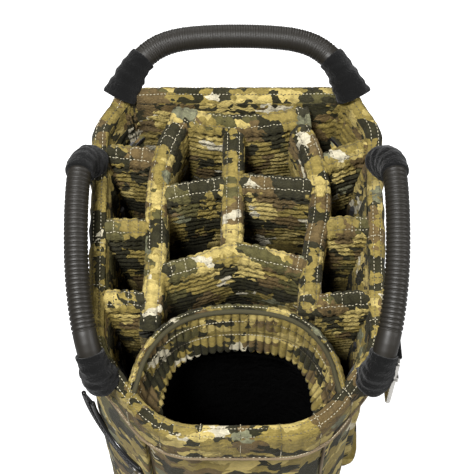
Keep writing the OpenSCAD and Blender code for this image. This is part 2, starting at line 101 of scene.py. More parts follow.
# Handle centre lines in the collar's own tilted frame: across, up the slope, square to it
REAR_HANDLE = [
    (-104, 138, -4), (-98, 150, 2), (-84, 170, 5), (-62, 183, 6), (-26, 187.5, 6),
    (26, 187.5, 6), (62, 183, 6), (84, 170, 5), (98, 150, 2), (104, 138, -4),
]
SIDE_HANDLE = [
    (132, 68, 2), (135.5, 64, 14), (137.5, 52, 25), (138, 12, 29), (136, -34, 29), (131, -72, 28),
    (125, -100, 24), (120, -116, 12), (117, -122, 0),
]


# ---------------------------------------------------------------- small geometry helpers


def collar_z(y):
    """Height of the collar's plane above the ground at y, in millimetres."""
    return COLLAR_Z / MM + y * COLLAR_TAN


def on_collar(u, v, w):
    """Millimetre point of the collar's tilted frame."""
    c, s = math.cos(COLLAR_SLOPE), math.sin(COLLAR_SLOPE)
    return Vector((u, v * c - w * s, COLLAR_Z / MM + v * s + w * c))


def unit(v):
    return v / v.length


def mirrored(corners):
    return list(corners) + [(-x, y) for x, y in reversed(corners)]


def rounded(corners, radii, steps=10):
    """A convex outline with each corner turned into an arc."""
    points = []
    count = len(corners)
    for i, r in enumerate(radii):
        a, b, c = (Vector(corners[j % count]) for j in (i - 1, i, i + 1))
        u, w = unit(a - b), unit(c - b)
        half = math.acos(max(-1, min(1, u.dot(w)))) / 2
        centre = b + unit(u + w) * r / math.sin(half)
        start = b + u * r / math.tan(half) - centre
        angle = math.atan2(start.y, start.x)
        turn = math.pi - 2 * half
        for k in range(steps + 1):
            t = angle + turn * k / steps
            points.append(centre + r * Vector((math.cos(t), math.sin(t))))
    return points


def cut_corners(points, times):
    """An open curve with its corners cut, its ends kept."""
    points = [Vector(p) for p in points]
    for _ in range(times):
        inner = []
        for a, b in zip(points, points[1:]):
            inner += [a.lerp(b, 0.25), a.lerp(b, 0.75)]
        points = [points[0]] + inner + [points[-1]]
    return points


def resample(points, step, closed=False):
    """Evenly spaced points along a polyline."""
    points = list(points) + ([points[0]] if closed else [])
    lengths = [0.0]
    for a, b in zip(points, points[1:]):
        lengths.append(lengths[-1] + (b - a).length)
    count = max(2, round(lengths[-1] / step))
    result = []
    k = 0
    for i in range(count if closed else count + 1):
        target = lengths[-1] * i / count
        while k < len(lengths) - 2 and lengths[k + 1] < target:
            k += 1
        span = max(1e-9, lengths[k + 1] - lengths[k])
        result.append(points[k].lerp(points[k + 1], (target - lengths[k]) / span))
    return result


def tangents(points, closed=False):
    count = len(points)
    result = []
    for i in range(count):
        before = points[i - 1] if closed else points[max(0, i - 1)]
        after = points[(i + 1) % count] if closed else points[min(count - 1, i + 1)]
        result.append(unit(after - before))
    return result


def left_of(t):
    return Vector((-t.y, t.x))


def smoothstep(low, high, value):
    t = max(0.0, min(1.0, (value - low) / (high - low)))
    return t * t * (3 - 2 * t)


def rough(point, size, seed=0.0):
    """Smooth noise from -1 to 1 that varies over about size millimetres."""
    return noise.noise(Vector(point) / size + Vector((seed, -seed, 2 * seed)))


def loft(name, rows, ring=False, loop=False, capped=False):
    """A surface drawn out of its first row of points by extruding that row's edges along the others.

    ring closes each row, loop joins the last row to the first, capped fills the open ends.
    Rows are in millimetres, and a fourth number on a point is how deep it lies in a seam, crease or fold, 0 to
    1, kept as a vertex attribute that the camouflage paints as shade.
    The map named Cloth keeps how far each corner lies along and across."""
    places = [[Vector(p[:3]) for p in row] for row in rows]
    depths = [[p[3] if len(p) > 3 else 0.0 for p in row] for row in rows]
    mesh = bmesh.new()
    run = mesh.verts.layers.float_vector.new("run")
    # Per-vertex amount of painted shade, read by the camouflage material.
    seam = mesh.verts.layers.float.new("seam")
    verts = [mesh.verts.new(p * MM) for p in places[0]]
    pairs = list(zip(verts, verts[1:])) + ([(verts[-1], verts[0])] if ring else [])
    edges = [mesh.edges.new(pair) for pair in pairs]
    across = [0.0]
    for a, b in zip(places[0], places[0][1:]):
        across.append(across[-1] + (b - a).length * MM)
    around = across[-1] + (places[0][-1] - places[0][0]).length * MM
    along = 0.0
    for vert, side, depth in zip(verts, across, depths[0]):
        vert[run] = (along, side, 0.0)
        vert[seam] = depth
    middle = len(verts) // 2
    before = places[0][middle]
    for row, row_depths in zip(places[1:], depths[1:]):
        out = bmesh.ops.extrude_edge_only(mesh, edges=edges)
        fresh = {v for v in out["geom"] if isinstance(v, bmesh.types.BMVert)}
        edges = [e for e in out["geom"] if isinstance(e, bmesh.types.BMEdge) and e.verts[0] in fresh
                 and e.verts[1] in fresh]
        along += (row[middle] - before).length * MM
        before = row[middle]
        following = []
        for vert, side, point, depth in zip(verts, across, row, row_depths):
            new = next(e.other_vert(vert) for e in vert.link_edges if e.other_vert(vert) in fresh)
            new.co = point * MM
            new[run] = (along, side, 0.0)
            new[seam] = depth
            following.append(new)
        verts = following
    cloth = mesh.loops.layers.uv.new("Cloth")
    for face in mesh.faces:
        wraps = ring and max(v[run][1] for v in face.verts) - min(v[run][1] for v in face.verts) > around / 2
        for corner in face.loops:
            u, v, _ = corner.vert[run]
            corner[cloth].uv = (u, v + around if wraps and v < around / 2 else v)
    if loop:
        bmesh.ops.remove_doubles(mesh, verts=mesh.verts, dist=1e-6)
    if capped:
        bmesh.ops.holes_fill(mesh, edges=[e for e in mesh.edges if e.is_boundary], sides=0)
    bmesh.ops.recalc_face_normals(mesh, faces=mesh.faces)
    mesh.verts.layers.float_vector.remove(run)
    return finish_mesh(name, mesh)


def finish_mesh(name, mesh, smooth=True):
    data = bpy.data.meshes.new(name)
    mesh.to_mesh(data)
    mesh.free()
    if smooth:
        data.polygons.foreach_set("use_smooth", [True] * len(data.polygons))
    obj = bpy.data.objects.new(name, data)
    bpy.context.scene.collection.objects.link(obj)
    return obj


def tube_rows(points, radius, sides=12, up=Vector((0, 0, 1)), closed=False):
    """Rings around a millimetre path. radius is a number, or a function of (index, angle)."""
    rows = []
    for i, (p, t) in enumerate(zip(points, tangents(points, closed))):
        a = unit(up.cross(t)) if abs(up.dot(t)) < 0.995 else unit(Vector((1, 0, 0)).cross(t))
        b = t.cross(a)
        row = []
        for k in range(sides):
            angle = 2 * math.pi * k / sides
            r = radius(i, angle) if callable(radius) else radius
            row.append(p + r * (a * math.cos(angle) + b * math.sin(angle)))
        rows.append(row)
    if closed:
        rows.append([Vector(p) for p in rows[0]])
    return rows


def wear(obj, material, body=BAG, stands_for=()):
    """Gives a finished piece its material and body, and hides the CAD nodes it stands for."""
    obj.data.materials.clear()
    obj.data.materials.append(material)
    if stands_for:
        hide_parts(*stands_for)
    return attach(obj, body)


# ---------------------------------------------------------------- shader building


def put(tree, kind, inputs=None, **settings):
    """A node with its settings, and its inputs given as values or linked from sockets."""
    node = tree.nodes.new(kind)
    for key, value in settings.items():
        setattr(node, key, value)
    for key, value in (inputs or {}).items():
        if isinstance(value, bpy.types.NodeSocket):
            tree.links.new(value, node.inputs[key])
        else:
            node.inputs[key].default_value = value
    return node


def maths(tree, operation, a, b=0.0, clamp=False):
    return put(tree, "ShaderNodeMath", {0: a, 1: b}, operation=operation, use_clamp=clamp).outputs[0]


def vector_maths(tree, operation, a, b):
    return put(tree, "ShaderNodeVectorMath", {0: a, 1: b}, operation=operation).outputs[0]


def mix_colour(tree, factor, a, b, blend="MIX"):
    node = put(tree, "ShaderNodeMix", data_type="RGBA", blend_type=blend)
    for socket, value in ((node.inputs[0], factor), (node.inputs[6], a), (node.inputs[7], b)):
        if isinstance(value, bpy.types.NodeSocket):
            tree.links.new(value, socket)
        else:
            socket.default_value = value
    return node.outputs[2]


def colour_ramp(tree, factor, stops, interpolation="LINEAR"):
    node = put(tree, "ShaderNodeValToRGB", {0: factor})
    ramp = node.color_ramp
    ramp.interpolation = interpolation
    while len(ramp.elements) < len(stops):
        ramp.elements.new(0.5)
    for element, (position, colour) in zip(ramp.elements, stops):
        element.position = position
        element.color = colour
    return node.outputs[0]


def rgba(colour):
    return (colour[0], colour[1], colour[2], 1.0)


def new_group(name, inputs, outputs):
    """An empty shader group with named sockets: (name, type, default) in, (name, type) out."""
    tree = bpy.data.node_groups.new(name, "ShaderNodeTree")
    for label, kind, default in inputs:
        socket = tree.interface.new_socket(label, in_out="INPUT", socket_type=kind)
        if default is not None:
            socket.default_value = default
    for label, kind in outputs:
        tree.interface.new_socket(label, in_out="OUTPUT", socket_type=kind)
    return tree, tree.nodes.new("NodeGroupInput"), tree.nodes.new("NodeGroupOutput")


def camouflage_group(colours):
    """Overlapping blotches with scalloped edges in the bag's printed colours."""
    tree, source, sink = new_group(
        "Camouflage print",
        [("Vector", "NodeSocketVector", None), ("Blotch size", "NodeSocketFloat", 1.0)],
        [("Color", "NodeSocketColor"), ("Light", "NodeSocketFloat")],
    )
    place = vector_maths(tree, "DIVIDE", source.outputs["Vector"], source.outputs["Blotch size"])
    ripple = put(tree, "ShaderNodeTexNoise", {"Vector": place, "Scale": 130.0, "Detail": 1.0})
    shaken = vector_maths(
        tree, "MULTIPLY",
        vector_maths(tree, "SUBTRACT", ripple.outputs["Color"], (0.5, 0.5, 0.5)), (0.007, 0.007, 0.007),
    )
    stretched = vector_maths(tree, "MULTIPLY", vector_maths(tree, "ADD", place, shaken), (1.0, 1.7, 1.7))
    scallops = put(tree, "ShaderNodeTexVoronoi", {"Vector": stretched, "Scale": 125.0}, feature="F1")
    spot = scallops.outputs["Position"]
    big = put(tree, "ShaderNodeTexVoronoi", {"Vector": spot, "Scale": 31.0}, feature="F1")
    big_pick = put(tree, "ShaderNodeSeparateColor", {0: big.outputs["Color"]})
    under = colour_ramp(tree, big_pick.outputs[0], [
        (0.0, rgba(colours.dark_olive)), (0.36, rgba(colours.khaki)), (0.55, rgba(colours.tan)),
        (0.68, rgba(colours.brown)), (0.8, rgba(colours.olive)), (0.9, rgba(colours.khaki)),
    ], "CONSTANT")
    small = put(tree, "ShaderNodeTexVoronoi", {
        "Vector": vector_maths(tree, "ADD", spot, (3.1, 1.7, 0.4)), "Scale": 50.0,
    }, feature="F1")
    small_pick = put(tree, "ShaderNodeSeparateColor", {0: small.outputs["Color"]})
    over = colour_ramp(tree, small_pick.outputs[0], [
        (0.0, rgba(colours.khaki)), (0.3, rgba(colours.dark_olive)), (0.56, rgba(colours.tan)),
        (0.76, rgba(colours.cream)), (0.84, rgba(colours.brown)), (0.94, rgba(colours.grey_green)),
    ], "CONSTANT")
    laid_over = maths(tree, "GREATER_THAN", small_pick.outputs[1], 0.66)
    print_colour = mix_colour(tree, laid_over, under, over)
    tint = put(tree, "ShaderNodeSeparateColor", {0: scallops.outputs["Color"]})
    lobes = put(tree, "ShaderNodeMapRange", {
        "Value": tint.outputs[0], "To Min": 0.84, "To Max": 1.1,
    })
    streaks = put(tree, "ShaderNodeTexNoise", {
        "Vector": vector_maths(tree, "MULTIPLY", place, (1.0, 5.0, 3.0)), "Scale": 170.0, "Detail": 3.0,
    })
    shade = put(tree, "ShaderNodeMapRange", {
        "Value": streaks.outputs["Fac"], "From Min": 0.3, "From Max": 0.7, "To Min": 0.86, "To Max": 1.12,
    })
    strength = maths(tree, "MULTIPLY", shade.outputs[0], lobes.outputs[0])
    scaled = put(tree, "ShaderNodeVectorMath", {0: print_colour, "Scale": strength}, operation="SCALE")
    shaded = scaled.outputs[0]
    light = put(tree, "ShaderNodeRGBToBW", {0: shaded})
    tree.links.new(shaded, sink.inputs["Color"])
    tree.links.new(light.outputs[0], sink.inputs["Light"])
    return tree


def weave_group():
    """Height of a plain weave, from how far a point lies along and across the surface."""
    tree, source, sink = new_group(
        "Plain weave",
        [("Vector", "NodeSocketVector", None), ("Threads per metre", "NodeSocketFloat", 1600.0)],
        [("Height", "NodeSocketFloat")],
    )
    parts = put(tree, "ShaderNodeSeparateXYZ", {0: source.outputs["Vector"]})
    waves = []
    for axis in (0, 1):
        turns = maths(tree, "MULTIPLY", parts.outputs[axis], source.outputs["Threads per metre"])
        waves.append(maths(tree, "SINE", maths(tree, "MULTIPLY", turns, math.pi)))
    height = maths(tree, "MULTIPLY", waves[0], waves[1])
    tree.links.new(height, sink.inputs["Height"])
    return tree


def crumple_group():
    """Height of soft creases and puckers in stuffed fabric."""
    tree, source, sink = new_group(
        "Fabric crumple",
        [("Vector", "NodeSocketVector", None), ("Crease size", "NodeSocketFloat", 1.0)],
        [("Height", "NodeSocketFloat")],
    )
    place = vector_maths(tree, "DIVIDE", source.outputs["Vector"], source.outputs["Crease size"])
    broad = put(tree, "ShaderNodeTexNoise", {
        "Vector": place, "Scale": 90.0, "Detail": 3.0, "Distortion": 0.6,
    })
    ridge = put(tree, "ShaderNodeTexNoise", {
        "Vector": place, "Scale": 210.0, "Detail": 2.0, "Distortion": 1.2,
    })
    folded = maths(tree, "ABSOLUTE", maths(tree, "SUBTRACT", ridge.outputs["Fac"], 0.5))
    height = maths(tree, "ADD", broad.outputs["Fac"], maths(tree, "MULTIPLY", folded, -1.4))
    tree.links.new(height, sink.inputs["Height"])
    return tree


def wear_group():
    """Faint dust and rubbed patches, from 0 to 1."""
    tree, source, sink = new_group(
        "Dust and rub",
        [("Vector", "NodeSocketVector", None), ("Amount", "NodeSocketFloat", 0.3)],
        [("Mask", "NodeSocketFloat")],
    )
    place = source.outputs["Vector"]
    cloud = put(tree, "ShaderNodeTexNoise", {"Vector": place, "Scale": 24.0, "Detail": 5.0})
    grain = put(tree, "ShaderNodeTexNoise", {"Vector": place, "Scale": 900.0, "Detail": 2.0})
    patch = maths(tree, "MULTIPLY", maths(tree, "SUBTRACT", cloud.outputs["Fac"], 0.38, True), 2.6, True)
    speck = maths(tree, "MULTIPLY", patch, grain.outputs["Fac"])
    tree.links.new(maths(tree, "MULTIPLY", speck, source.outputs["Amount"], True), sink.inputs["Mask"])
    return tree


def blank_material(name):
    material = bpy.data.materials.new(name)
    material.use_nodes = True
    tree = material.node_tree
    return material, tree, tree.nodes["Principled BSDF"]


def use_group(tree, group, inputs):
    node = put(tree, "ShaderNodeGroup")
    node.node_tree = group
    for key, value in inputs.items():
        if isinstance(value, bpy.types.NodeSocket):
            tree.links.new(value, node.inputs[key])
        else:
            node.inputs[key].default_value = value
    return node


def object_place(tree, shift=(0, 0, 0), turn=(0, 0, 0)):
    coordinates = tree.nodes.new("ShaderNodeTexCoord")
    mapping = put(tree, "ShaderNodeMapping", {
        "Vector": coordinates.outputs["Object"], "Location": shift, "Rotation": turn,
    })
    return mapping.outputs[0]


def surface_run(tree):
    return put(tree, "ShaderNodeUVMap", uv_map="Cloth").outputs["UV"]


def bump(tree, height, strength, distance, normal=None):
    inputs = {"Height": height, "Strength": strength, "Distance": distance}
    if normal is not None:
        inputs["Normal"] = normal
    return put(tree, "ShaderNodeBump", inputs).outputs[0]


class Finishes:
    """Every material of the bag, each made once by its own function."""

    def __init__(self, colours):
        self.colours = colours
        self.camouflage = camouflage_group(colours)
        self.weave = weave_group()
        self.crumple = crumple_group()
        self.dust = wear_group()
        self.made = {}

    def camo(self, name, shift=(0, 0, 0), turn=(0, 0, 0), size=1.0, crease=0.6, depth=0.0, well=False):
        """Printed fabric. depth paints shade on it, turning it black towards the bottom of a slot, and well
        paints shade black over all of the putter well.
        """
        material, tree, shader = blank_material(name)
        place = object_place(tree, shift, turn)
        print_node = use_group(tree, self.camouflage, {"Vector": place, "Blotch size": size})
        dusty = use_group(tree, self.dust, {"Vector": place, "Amount": 0.08})
        colour = mix_colour(tree, dusty.outputs[0], print_node.outputs["Color"], rgba(self.colours.cream))
        # Painted shade: the print fades to the black colour deeper down the slots, and loses its specular and
        # sheen there.
        if depth:
            height = put(tree, "ShaderNodeSeparateXYZ", {0: object_place(tree)})
            above = maths(tree, "MULTIPLY", height.outputs[1], -COLLAR_TAN)
            level = maths(tree, "ADD", height.outputs[2], above)
            fade = put(tree, "ShaderNodeMapRange", {
                "Value": level, "From Min": COLLAR_Z - depth, "From Max": COLLAR_Z - 0.02,
                "To Min": 0.0, "To Max": 1.0,
            })
            unshaded = fade.outputs[0]
            # Painted shade: in front of the putter well's back the print is black all the way up.
            if well:
                behind = put(tree, "ShaderNodeMapRange", {
                    "Value": height.outputs[1], "From Min": -0.113, "From Max": -0.108,
                })
                unshaded = maths(tree, "MULTIPLY", unshaded, behind.outputs[0])
            colour = mix_colour(tree, unshaded, rgba(self.colours.black_fabric_and_shade), colour)
            tree.links.new(maths(tree, "MULTIPLY", unshaded, 0.14), shader.inputs["Specular IOR Level"])
            tree.links.new(maths(tree, "MULTIPLY", unshaded, 0.03), shader.inputs["Sheen Weight"])
        # Painted shade: the print darkens towards black by how deep each point lies in a seam, crease or fold.
        seam = put(tree, "ShaderNodeAttribute", attribute_name="seam").outputs["Fac"]
        seam = maths(tree, "MULTIPLY", seam, 0.82, True)
        colour = mix_colour(tree, seam, colour, rgba(self.colours.black_fabric_and_shade))
        tree.links.new(colour, shader.inputs["Base Color"])
        shader.inputs["Roughness"].default_value = 0.72
        shader.inputs["Sheen Weight"].default_value = 0.03
        shader.inputs["Sheen Roughness"].default_value = 0.4
        shader.inputs["Specular IOR Level"].default_value = 0.14
        weave = use_group(tree, self.weave, {"Vector": surface_run(tree), "Threads per metre": 1500.0})
        crumple = use_group(tree, self.crumple, {"Vector": place, "Crease size": 1.0})
        soft = bump(tree, crumple.outputs[0], crease, 0.007)
        tree.links.new(bump(tree, weave.outputs[0], 0.25, 0.0002, soft), shader.inputs["Normal"])
        return material

    def cloth(self, name, colour, rough_value=0.85, threads=900.0, crease=0.35, sheen=0.2):
        """Plain woven or knitted fabric in one dyed colour."""
        material, tree, shader = blank_material(name)
        place = object_place(tree)
        dusty = use_group(tree, self.dust, {"Vector": place, "Amount": 0.3})
        lighter = [min(1.0, c * 2.2 + 0.0005) for c in colour]
        mixed = mix_colour(tree, dusty.outputs[0], rgba(colour), rgba(lighter))
        tree.links.new(mixed, shader.inputs["Base Color"])
        shader.inputs["Roughness"].default_value = rough_value
        shader.inputs["Specular IOR Level"].default_value = 0.12
        shader.inputs["Sheen Weight"].default_value = sheen * 0.3
        weave = use_group(tree, self.weave, {"Vector": surface_run(tree), "Threads per metre": threads})
        crumple = use_group(tree, self.crumple, {"Vector": place, "Crease size": 1.2})
        soft = bump(tree, crumple.outputs[0], crease, 0.003)
        tree.links.new(bump(tree, weave.outputs[0], 0.35, 0.0003, soft), shader.inputs["Normal"])
        return material

    def moulded(self, name, colour, rough_value=0.5, grain=0.25, scale=1400.0):
        """Moulded plastic or rubber with a fine sparked texture and a little dust."""
        material, tree, shader = blank_material(name)
        place = object_place(tree)
        dusty = use_group(tree, self.dust, {"Vector": place, "Amount": 0.35})
        lighter = [min(1.0, c * 1.5 + 0.006) for c in colour]
        mixed = mix_colour(tree, dusty.outputs[0], rgba(colour), rgba(lighter))
        tree.links.new(mixed, shader.inputs["Base Color"])
        texture = put(tree, "ShaderNodeTexNoise", {"Vector": place, "Scale": scale, "Detail": 2.0})
        spread = put(tree, "ShaderNodeMapRange", {
            "Value": dusty.outputs[0], "To Min": rough_value, "To Max": min(1.0, rough_value + 0.25),
        })
        tree.links.new(spread.outputs[0], shader.inputs["Roughness"])
        shader.inputs["Specular IOR Level"].default_value = 0.4
        tree.links.new(bump(tree, texture.outputs["Fac"], grain, 0.0003), shader.inputs["Normal"])
        return material

    def metal(self, name, colour, rough_value=0.28, brushed=(1, 1, 60)):
        """Plated, drawn or anodised metal with fine directional scratches."""
        material, tree, shader = blank_material(name)
        place = object_place(tree)
        lines = put(tree, "ShaderNodeTexNoise", {
            "Vector": vector_maths(tree, "MULTIPLY", place, brushed), "Scale": 300.0, "Detail": 3.0,
        })
        shader.inputs["Base Color"].default_value = rgba(colour)
        shader.inputs["Metallic"].default_value = 1.0
        spread = put(tree, "ShaderNodeMapRange", {
            "Value": lines.outputs["Fac"], "From Min": 0.3, "From Max": 0.7,
            "To Min": rough_value * 0.75, "To Max": rough_value * 1.4,
        })
        tree.links.new(spread.outputs[0], shader.inputs["Roughness"])
        tree.links.new(bump(tree, lines.outputs["Fac"], 0.08, 0.0002), shader.inputs["Normal"])
        return material

    def thread(self, name, shift, turn=(0, 0, 0)):
        """Sewing thread, pale over the dark blotches of the fabric under it; over the pale blotches it is
        painted dark as the shade of the groove it is sunk in.
        """
        material, tree, shader = blank_material(name)
        place = object_place(tree, shift, turn)
        print_node = use_group(tree, self.camouflage, {"Vector": place, "Blotch size": 1.0})
        # Painted shade: where the print under it is pale, the thread takes the dark colour of its groove's
        # shade.
        pale = colour_ramp(tree, print_node.outputs["Light"], [
            (0.0, rgba(self.colours.thread)), (0.1, rgba(self.colours.thread)),
            (0.14, rgba(self.colours.stitch_groove_shade)),
        ])
        tree.links.new(pale, shader.inputs["Base Color"])
        shader.inputs["Roughness"].default_value = 0.6
        return material

    def get(self, name):
        """The finish of that name, made the first time it is asked for."""
        if name not in self.made:
            self.made[name] = self.recipes()[name]()
        return self.made[name]

    def recipes(self):
        c = self.colours
        return {
            # A recipe's depth is how far below the collar's plane, in metres, the painted shade has turned the
            # print black.
            "camo rim": lambda: self.camo("Camouflage rim fabric", (0.11, 0.02, 0.05)),
            "camo bars": lambda: self.camo("Camouflage divider fabric", (0.4, 0.13, 0.3), depth=0.13),
            "camo crossbars": lambda: self.camo(
                "Camouflage crossbar fabric", (0.9, 0.7, 0.1), (0, 0, 0.6), depth=0.13),
            "camo arch": lambda: self.camo("Camouflage arch fabric", (0.7, 0.4, 0.2), depth=0.05),
            "camo throat": lambda: self.camo("Camouflage throat fabric", (1.1, 0.35, 0.5), crease=0.4),
            "camo lining": lambda: self.camo("Camouflage lining", (1.3, 0.2, 0.7), depth=0.1, well=True),
            "camo body": lambda: self.camo(
                "Camouflage body fabric", (0.03, 0.6, 0.2), size=1.25, crease=0.35),
            "cuff": lambda: self.cloth("Black stretch cuff", c.black_fabric_and_shade, 0.9, 1400.0, 0.5, 0.35),
            "webbing": lambda: self.cloth("Black webbing", c.black_fabric_and_shade, 0.75, 420.0, 0.1),
            "spacer mesh": lambda: self.cloth(
                "Black spacer mesh", [v * 3.5 for v in c.black_fabric_and_shade], 0.9, 320.0, 0.15),
            "olive piping": lambda: self.cloth("Olive piping", c.olive_piping, 0.7, 1200.0, 0.1),
            "taupe binding": lambda: self.cloth("Taupe binding", c.taupe_binding, 0.7, 900.0, 0.15),
            "grip": lambda: self.moulded("Ribbed grip rubber", c.grip_rubber, 0.48, 0.12),
            "base plastic": lambda: self.moulded("Base plastic", c.black_plastic, 0.5, 0.35),
            "plastic": lambda: self.moulded("Black moulded plastic", c.black_plastic, 0.4, 0.2),
            "sole rubber": lambda: self.moulded("Sole rubber", c.grip_rubber, 0.75, 0.4, 900.0),
            "zip": lambda: self.moulded("Glossy zip tape", [v * 0.5 for v in c.black_plastic], 0.22, 0.05),
            "nickel": lambda: self.metal("Plated zinc", c.nickel, 0.25),
            "steel": lambda: self.metal("Drawn steel", c.steel, 0.3, (60, 60, 1)),
            "alloy": lambda: self.metal("Anodised leg tube", c.leg_alloy, 0.35, (40, 40, 1)),
            "thread rim": lambda: self.thread("Rim thread", (0.11, 0.02, 0.05)),
            "thread bars": lambda: self.thread("Divider thread", (0.4, 0.13, 0.3)),
            "thread crossbars": lambda: self.thread("Crossbar thread", (0.9, 0.7, 0.1), (0, 0, 0.6)),
            "thread arch": lambda: self.thread("Well thread", (0.7, 0.4, 0.2)),
        }


FINISHES = {}


def finish(name):
    """The named material, from the one set of finishes that this run makes."""
    if "set" not in FINISHES:
        FINISHES["set"] = Finishes(bpy.context.scene.bag_colours)
    return FINISHES["set"].get(name)


# ---------------------------------------------------------------- outlines and stitching


def outline(corners, radii, step):
    """Evenly spaced points round a plan outline, anticlockwise from the front right."""
    return resample(rounded(mirrored(corners), radii + radii[::-1]), step, closed=True)


def rim_path(step):
    return outline(COLLAR_CORNERS, COLLAR_RADII, step)


def body_path(step):
    return outline(BODY_CORNERS, BODY_RADII, step)


def raised(p, offset, height, seam=None):
    """Plan point p moved by offset, at a height above the collar's plane there."""
    q = p + offset
    place = (q.x, q.y, collar_z(q.y) + height)
    return Vector(place) if seam is None else Vector((*place, seam))


def stitches(name, runs, material, pitch=3.3, length=1.7, width=0.5):
    """Dashes of thread along runs of millimetre points, each run with the surface's outward direction."""
    mesh = bmesh.new()
    for points, out in runs:
        points = resample(points, pitch)
        for p, t in zip(points, tangents(points)):
            n = unit(out - t * out.dot(t))
            turn = Matrix((t, n.cross(t), n)).transposed().to_4x4()
            size = Matrix.Diagonal((length * MM, width * MM, width * MM, 1))
            bmesh.ops.create_cube(mesh, size=1, matrix=Matrix.Translation(p * MM) @ turn @ size)
    return wear(finish_mesh(name, mesh, smooth=False), finish(material))


def piping(name, points, radius, material, closed=False, sides=8):
    """A welt sewn into a seam."""
    rows = tube_rows(points, radius, sides, closed=closed)
    return wear(loft(name, rows, ring=True, loop=closed, capped=not closed), finish(material))


# ---------------------------------------------------------------- padded top


def pucker(p, size=9.0, depth=0.6, seed=0.0):
    """Uneven swelling of foam under fabric."""
    return depth * rough((p.x, p.y, 0), size, seed) + 0.6 * depth * rough((p.x, p.y, 5), size / 2.3, seed)


CUFF_ROOTS = [Vector((s * x, y)) for s in (-1, 1) for x, y in ((104, 128), (133, 58), (120, -112))]


def gather(p):
    """Folds that fan out from where a handle is sewn through the rim."""
    lift = 0.0
    for root in CUFF_ROOTS:
        away = p - root
        fade = math.exp(-((away.length / 42) ** 2))
        lift += 1.8 * fade * math.sin(11 * math.atan2(away.y, away.x) + 1.7 * rough((p.x, p.y, 1), 14))
    return lift


RIM_ROLL = [
    (14.6, -12.0), (14.4, -7.0), (13.6, -3.6), (12.2, -1.7), (10.4, -0.9), (9.6, -1.3), (8.6, -0.5), (7.0, 0.0),
    (5.2, -0.2), (3.8, -0.9), (3.2, -1.6), (2.2, -2.0), (1.0, -4.2), (0.2, -7.5), (-0.2, -12.0), (-0.3, -18.0),
    (-0.1, -23.0), (0.0, -28.5), (0.1, -34.0), (0.3, -39.5), (0.8, -44.0), (1.8, -47.0), (3.4, -48.8),
]
RIM_BACK = [(8.0, -49.2), (13.0, -49.0), (15.4, -46.0), (15.6, -30.0), (15.4, -18.0)]


LIP_SAG = 8.0


def droop(p, height=0.0):
    """How far the soft lip sags below the collar's plane at the middle of the front."""
    at_front = 1 - smoothstep(-150, -112, p.y)
    return -LIP_SAG * math.exp(-((p.x / 78) ** 2)) * at_front * smoothstep(-49, -10, height)


def build_collar_rim():
    """The padded roll round the top and the band below it."""
    path = rim_path(2.6)
    ways = tangents(path, True)
    rows = []
    for i, (p, t) in enumerate(zip(path, ways)):
        inward = left_of(t)
        run = i * 2.6
        fold = gather(p)
        row = []
        for d, h in RIM_ROLL:
            on_top = 1 - smoothstep(-14, -3, h)
            swell = pucker(p + inward * d * 1.7, 11, 0.8, h / 40)
            crease = 1.1 * on_top * rough((run / 9, h / 26, 2), 1.0) * smoothstep(-49, -32, h)
            out = inward * (d - swell * on_top - crease - 0.6 * fold * on_top)
            tacked = abs(math.cos(math.pi * run / 17.5)) ** 24
            # Painted shade at the tacks and in the valleys of the gathers.
            seam = 0.3 * tacked + 0.25 * max(0.0, -fold)
            bulge = left_of(t) * -1.6 * smoothstep(118, 128, abs(p.x)) * on_top
            out = out + bulge - inward * -0.5 * tacked
            row.append(raised(p, out, h + droop(p, h) + (1 - on_top) * (swell - 0.6 + 0.7 * fold), seam))
        row += [raised(p, inward * d, h + droop(p, h)) for d, h in RIM_BACK]
        rows.append(row)
    rows.append(rows[0])
    rim = loft("collar_rim", rows, ring=True, loop=True)
    wear(rim, finish("camo rim"), stands_for=["collar_pad"])
    welt = [raised(p, left_of(t) * 1.2, -48.4) for p, t in zip(path, ways)]
    piping("collar_piping", welt, 1.9, "taupe binding", closed=True)
    runs = []
    for d, h in ((9.7, -0.9), (3.3, -1.3)):
        edge = [raised(p, left_of(t) * d, h + droop(p) + 0.7 * gather(p)) for p, t in zip(path, ways)]
        runs.append((edge + edge[:1], Vector((0, -math.sin(COLLAR_SLOPE), math.cos(COLLAR_SLOPE)))))
    lower = [raised(p, left_of(t) * -0.5, -42.0) for p, t in zip(path, ways)]
    runs += [(lower[k:k + 3], Vector((-left_of(ways[k]).x, -left_of(ways[k]).y, 0)))
             for k in range(0, len(path) - 2, 2)]
    tacks = rim_path(35.0)
    for p, t in zip(tacks, tangents(tacks, True)):
        inward = left_of(t)
        if p.y > 60:
            continue
        column = [raised(p, inward * -0.5, h + droop(p, h)) for h in (-10, -25, -41)]
        runs.append((column, Vector((-inward.x, -inward.y, 0))))
        over = [raised(p, inward * d, h + droop(p, h) + 0.2) for d, h in RIM_ROLL[2:12]]
        runs.append((over, Vector((-inward.x, -inward.y, 3))))
    stitches("collar_stitching", runs, "thread rim")


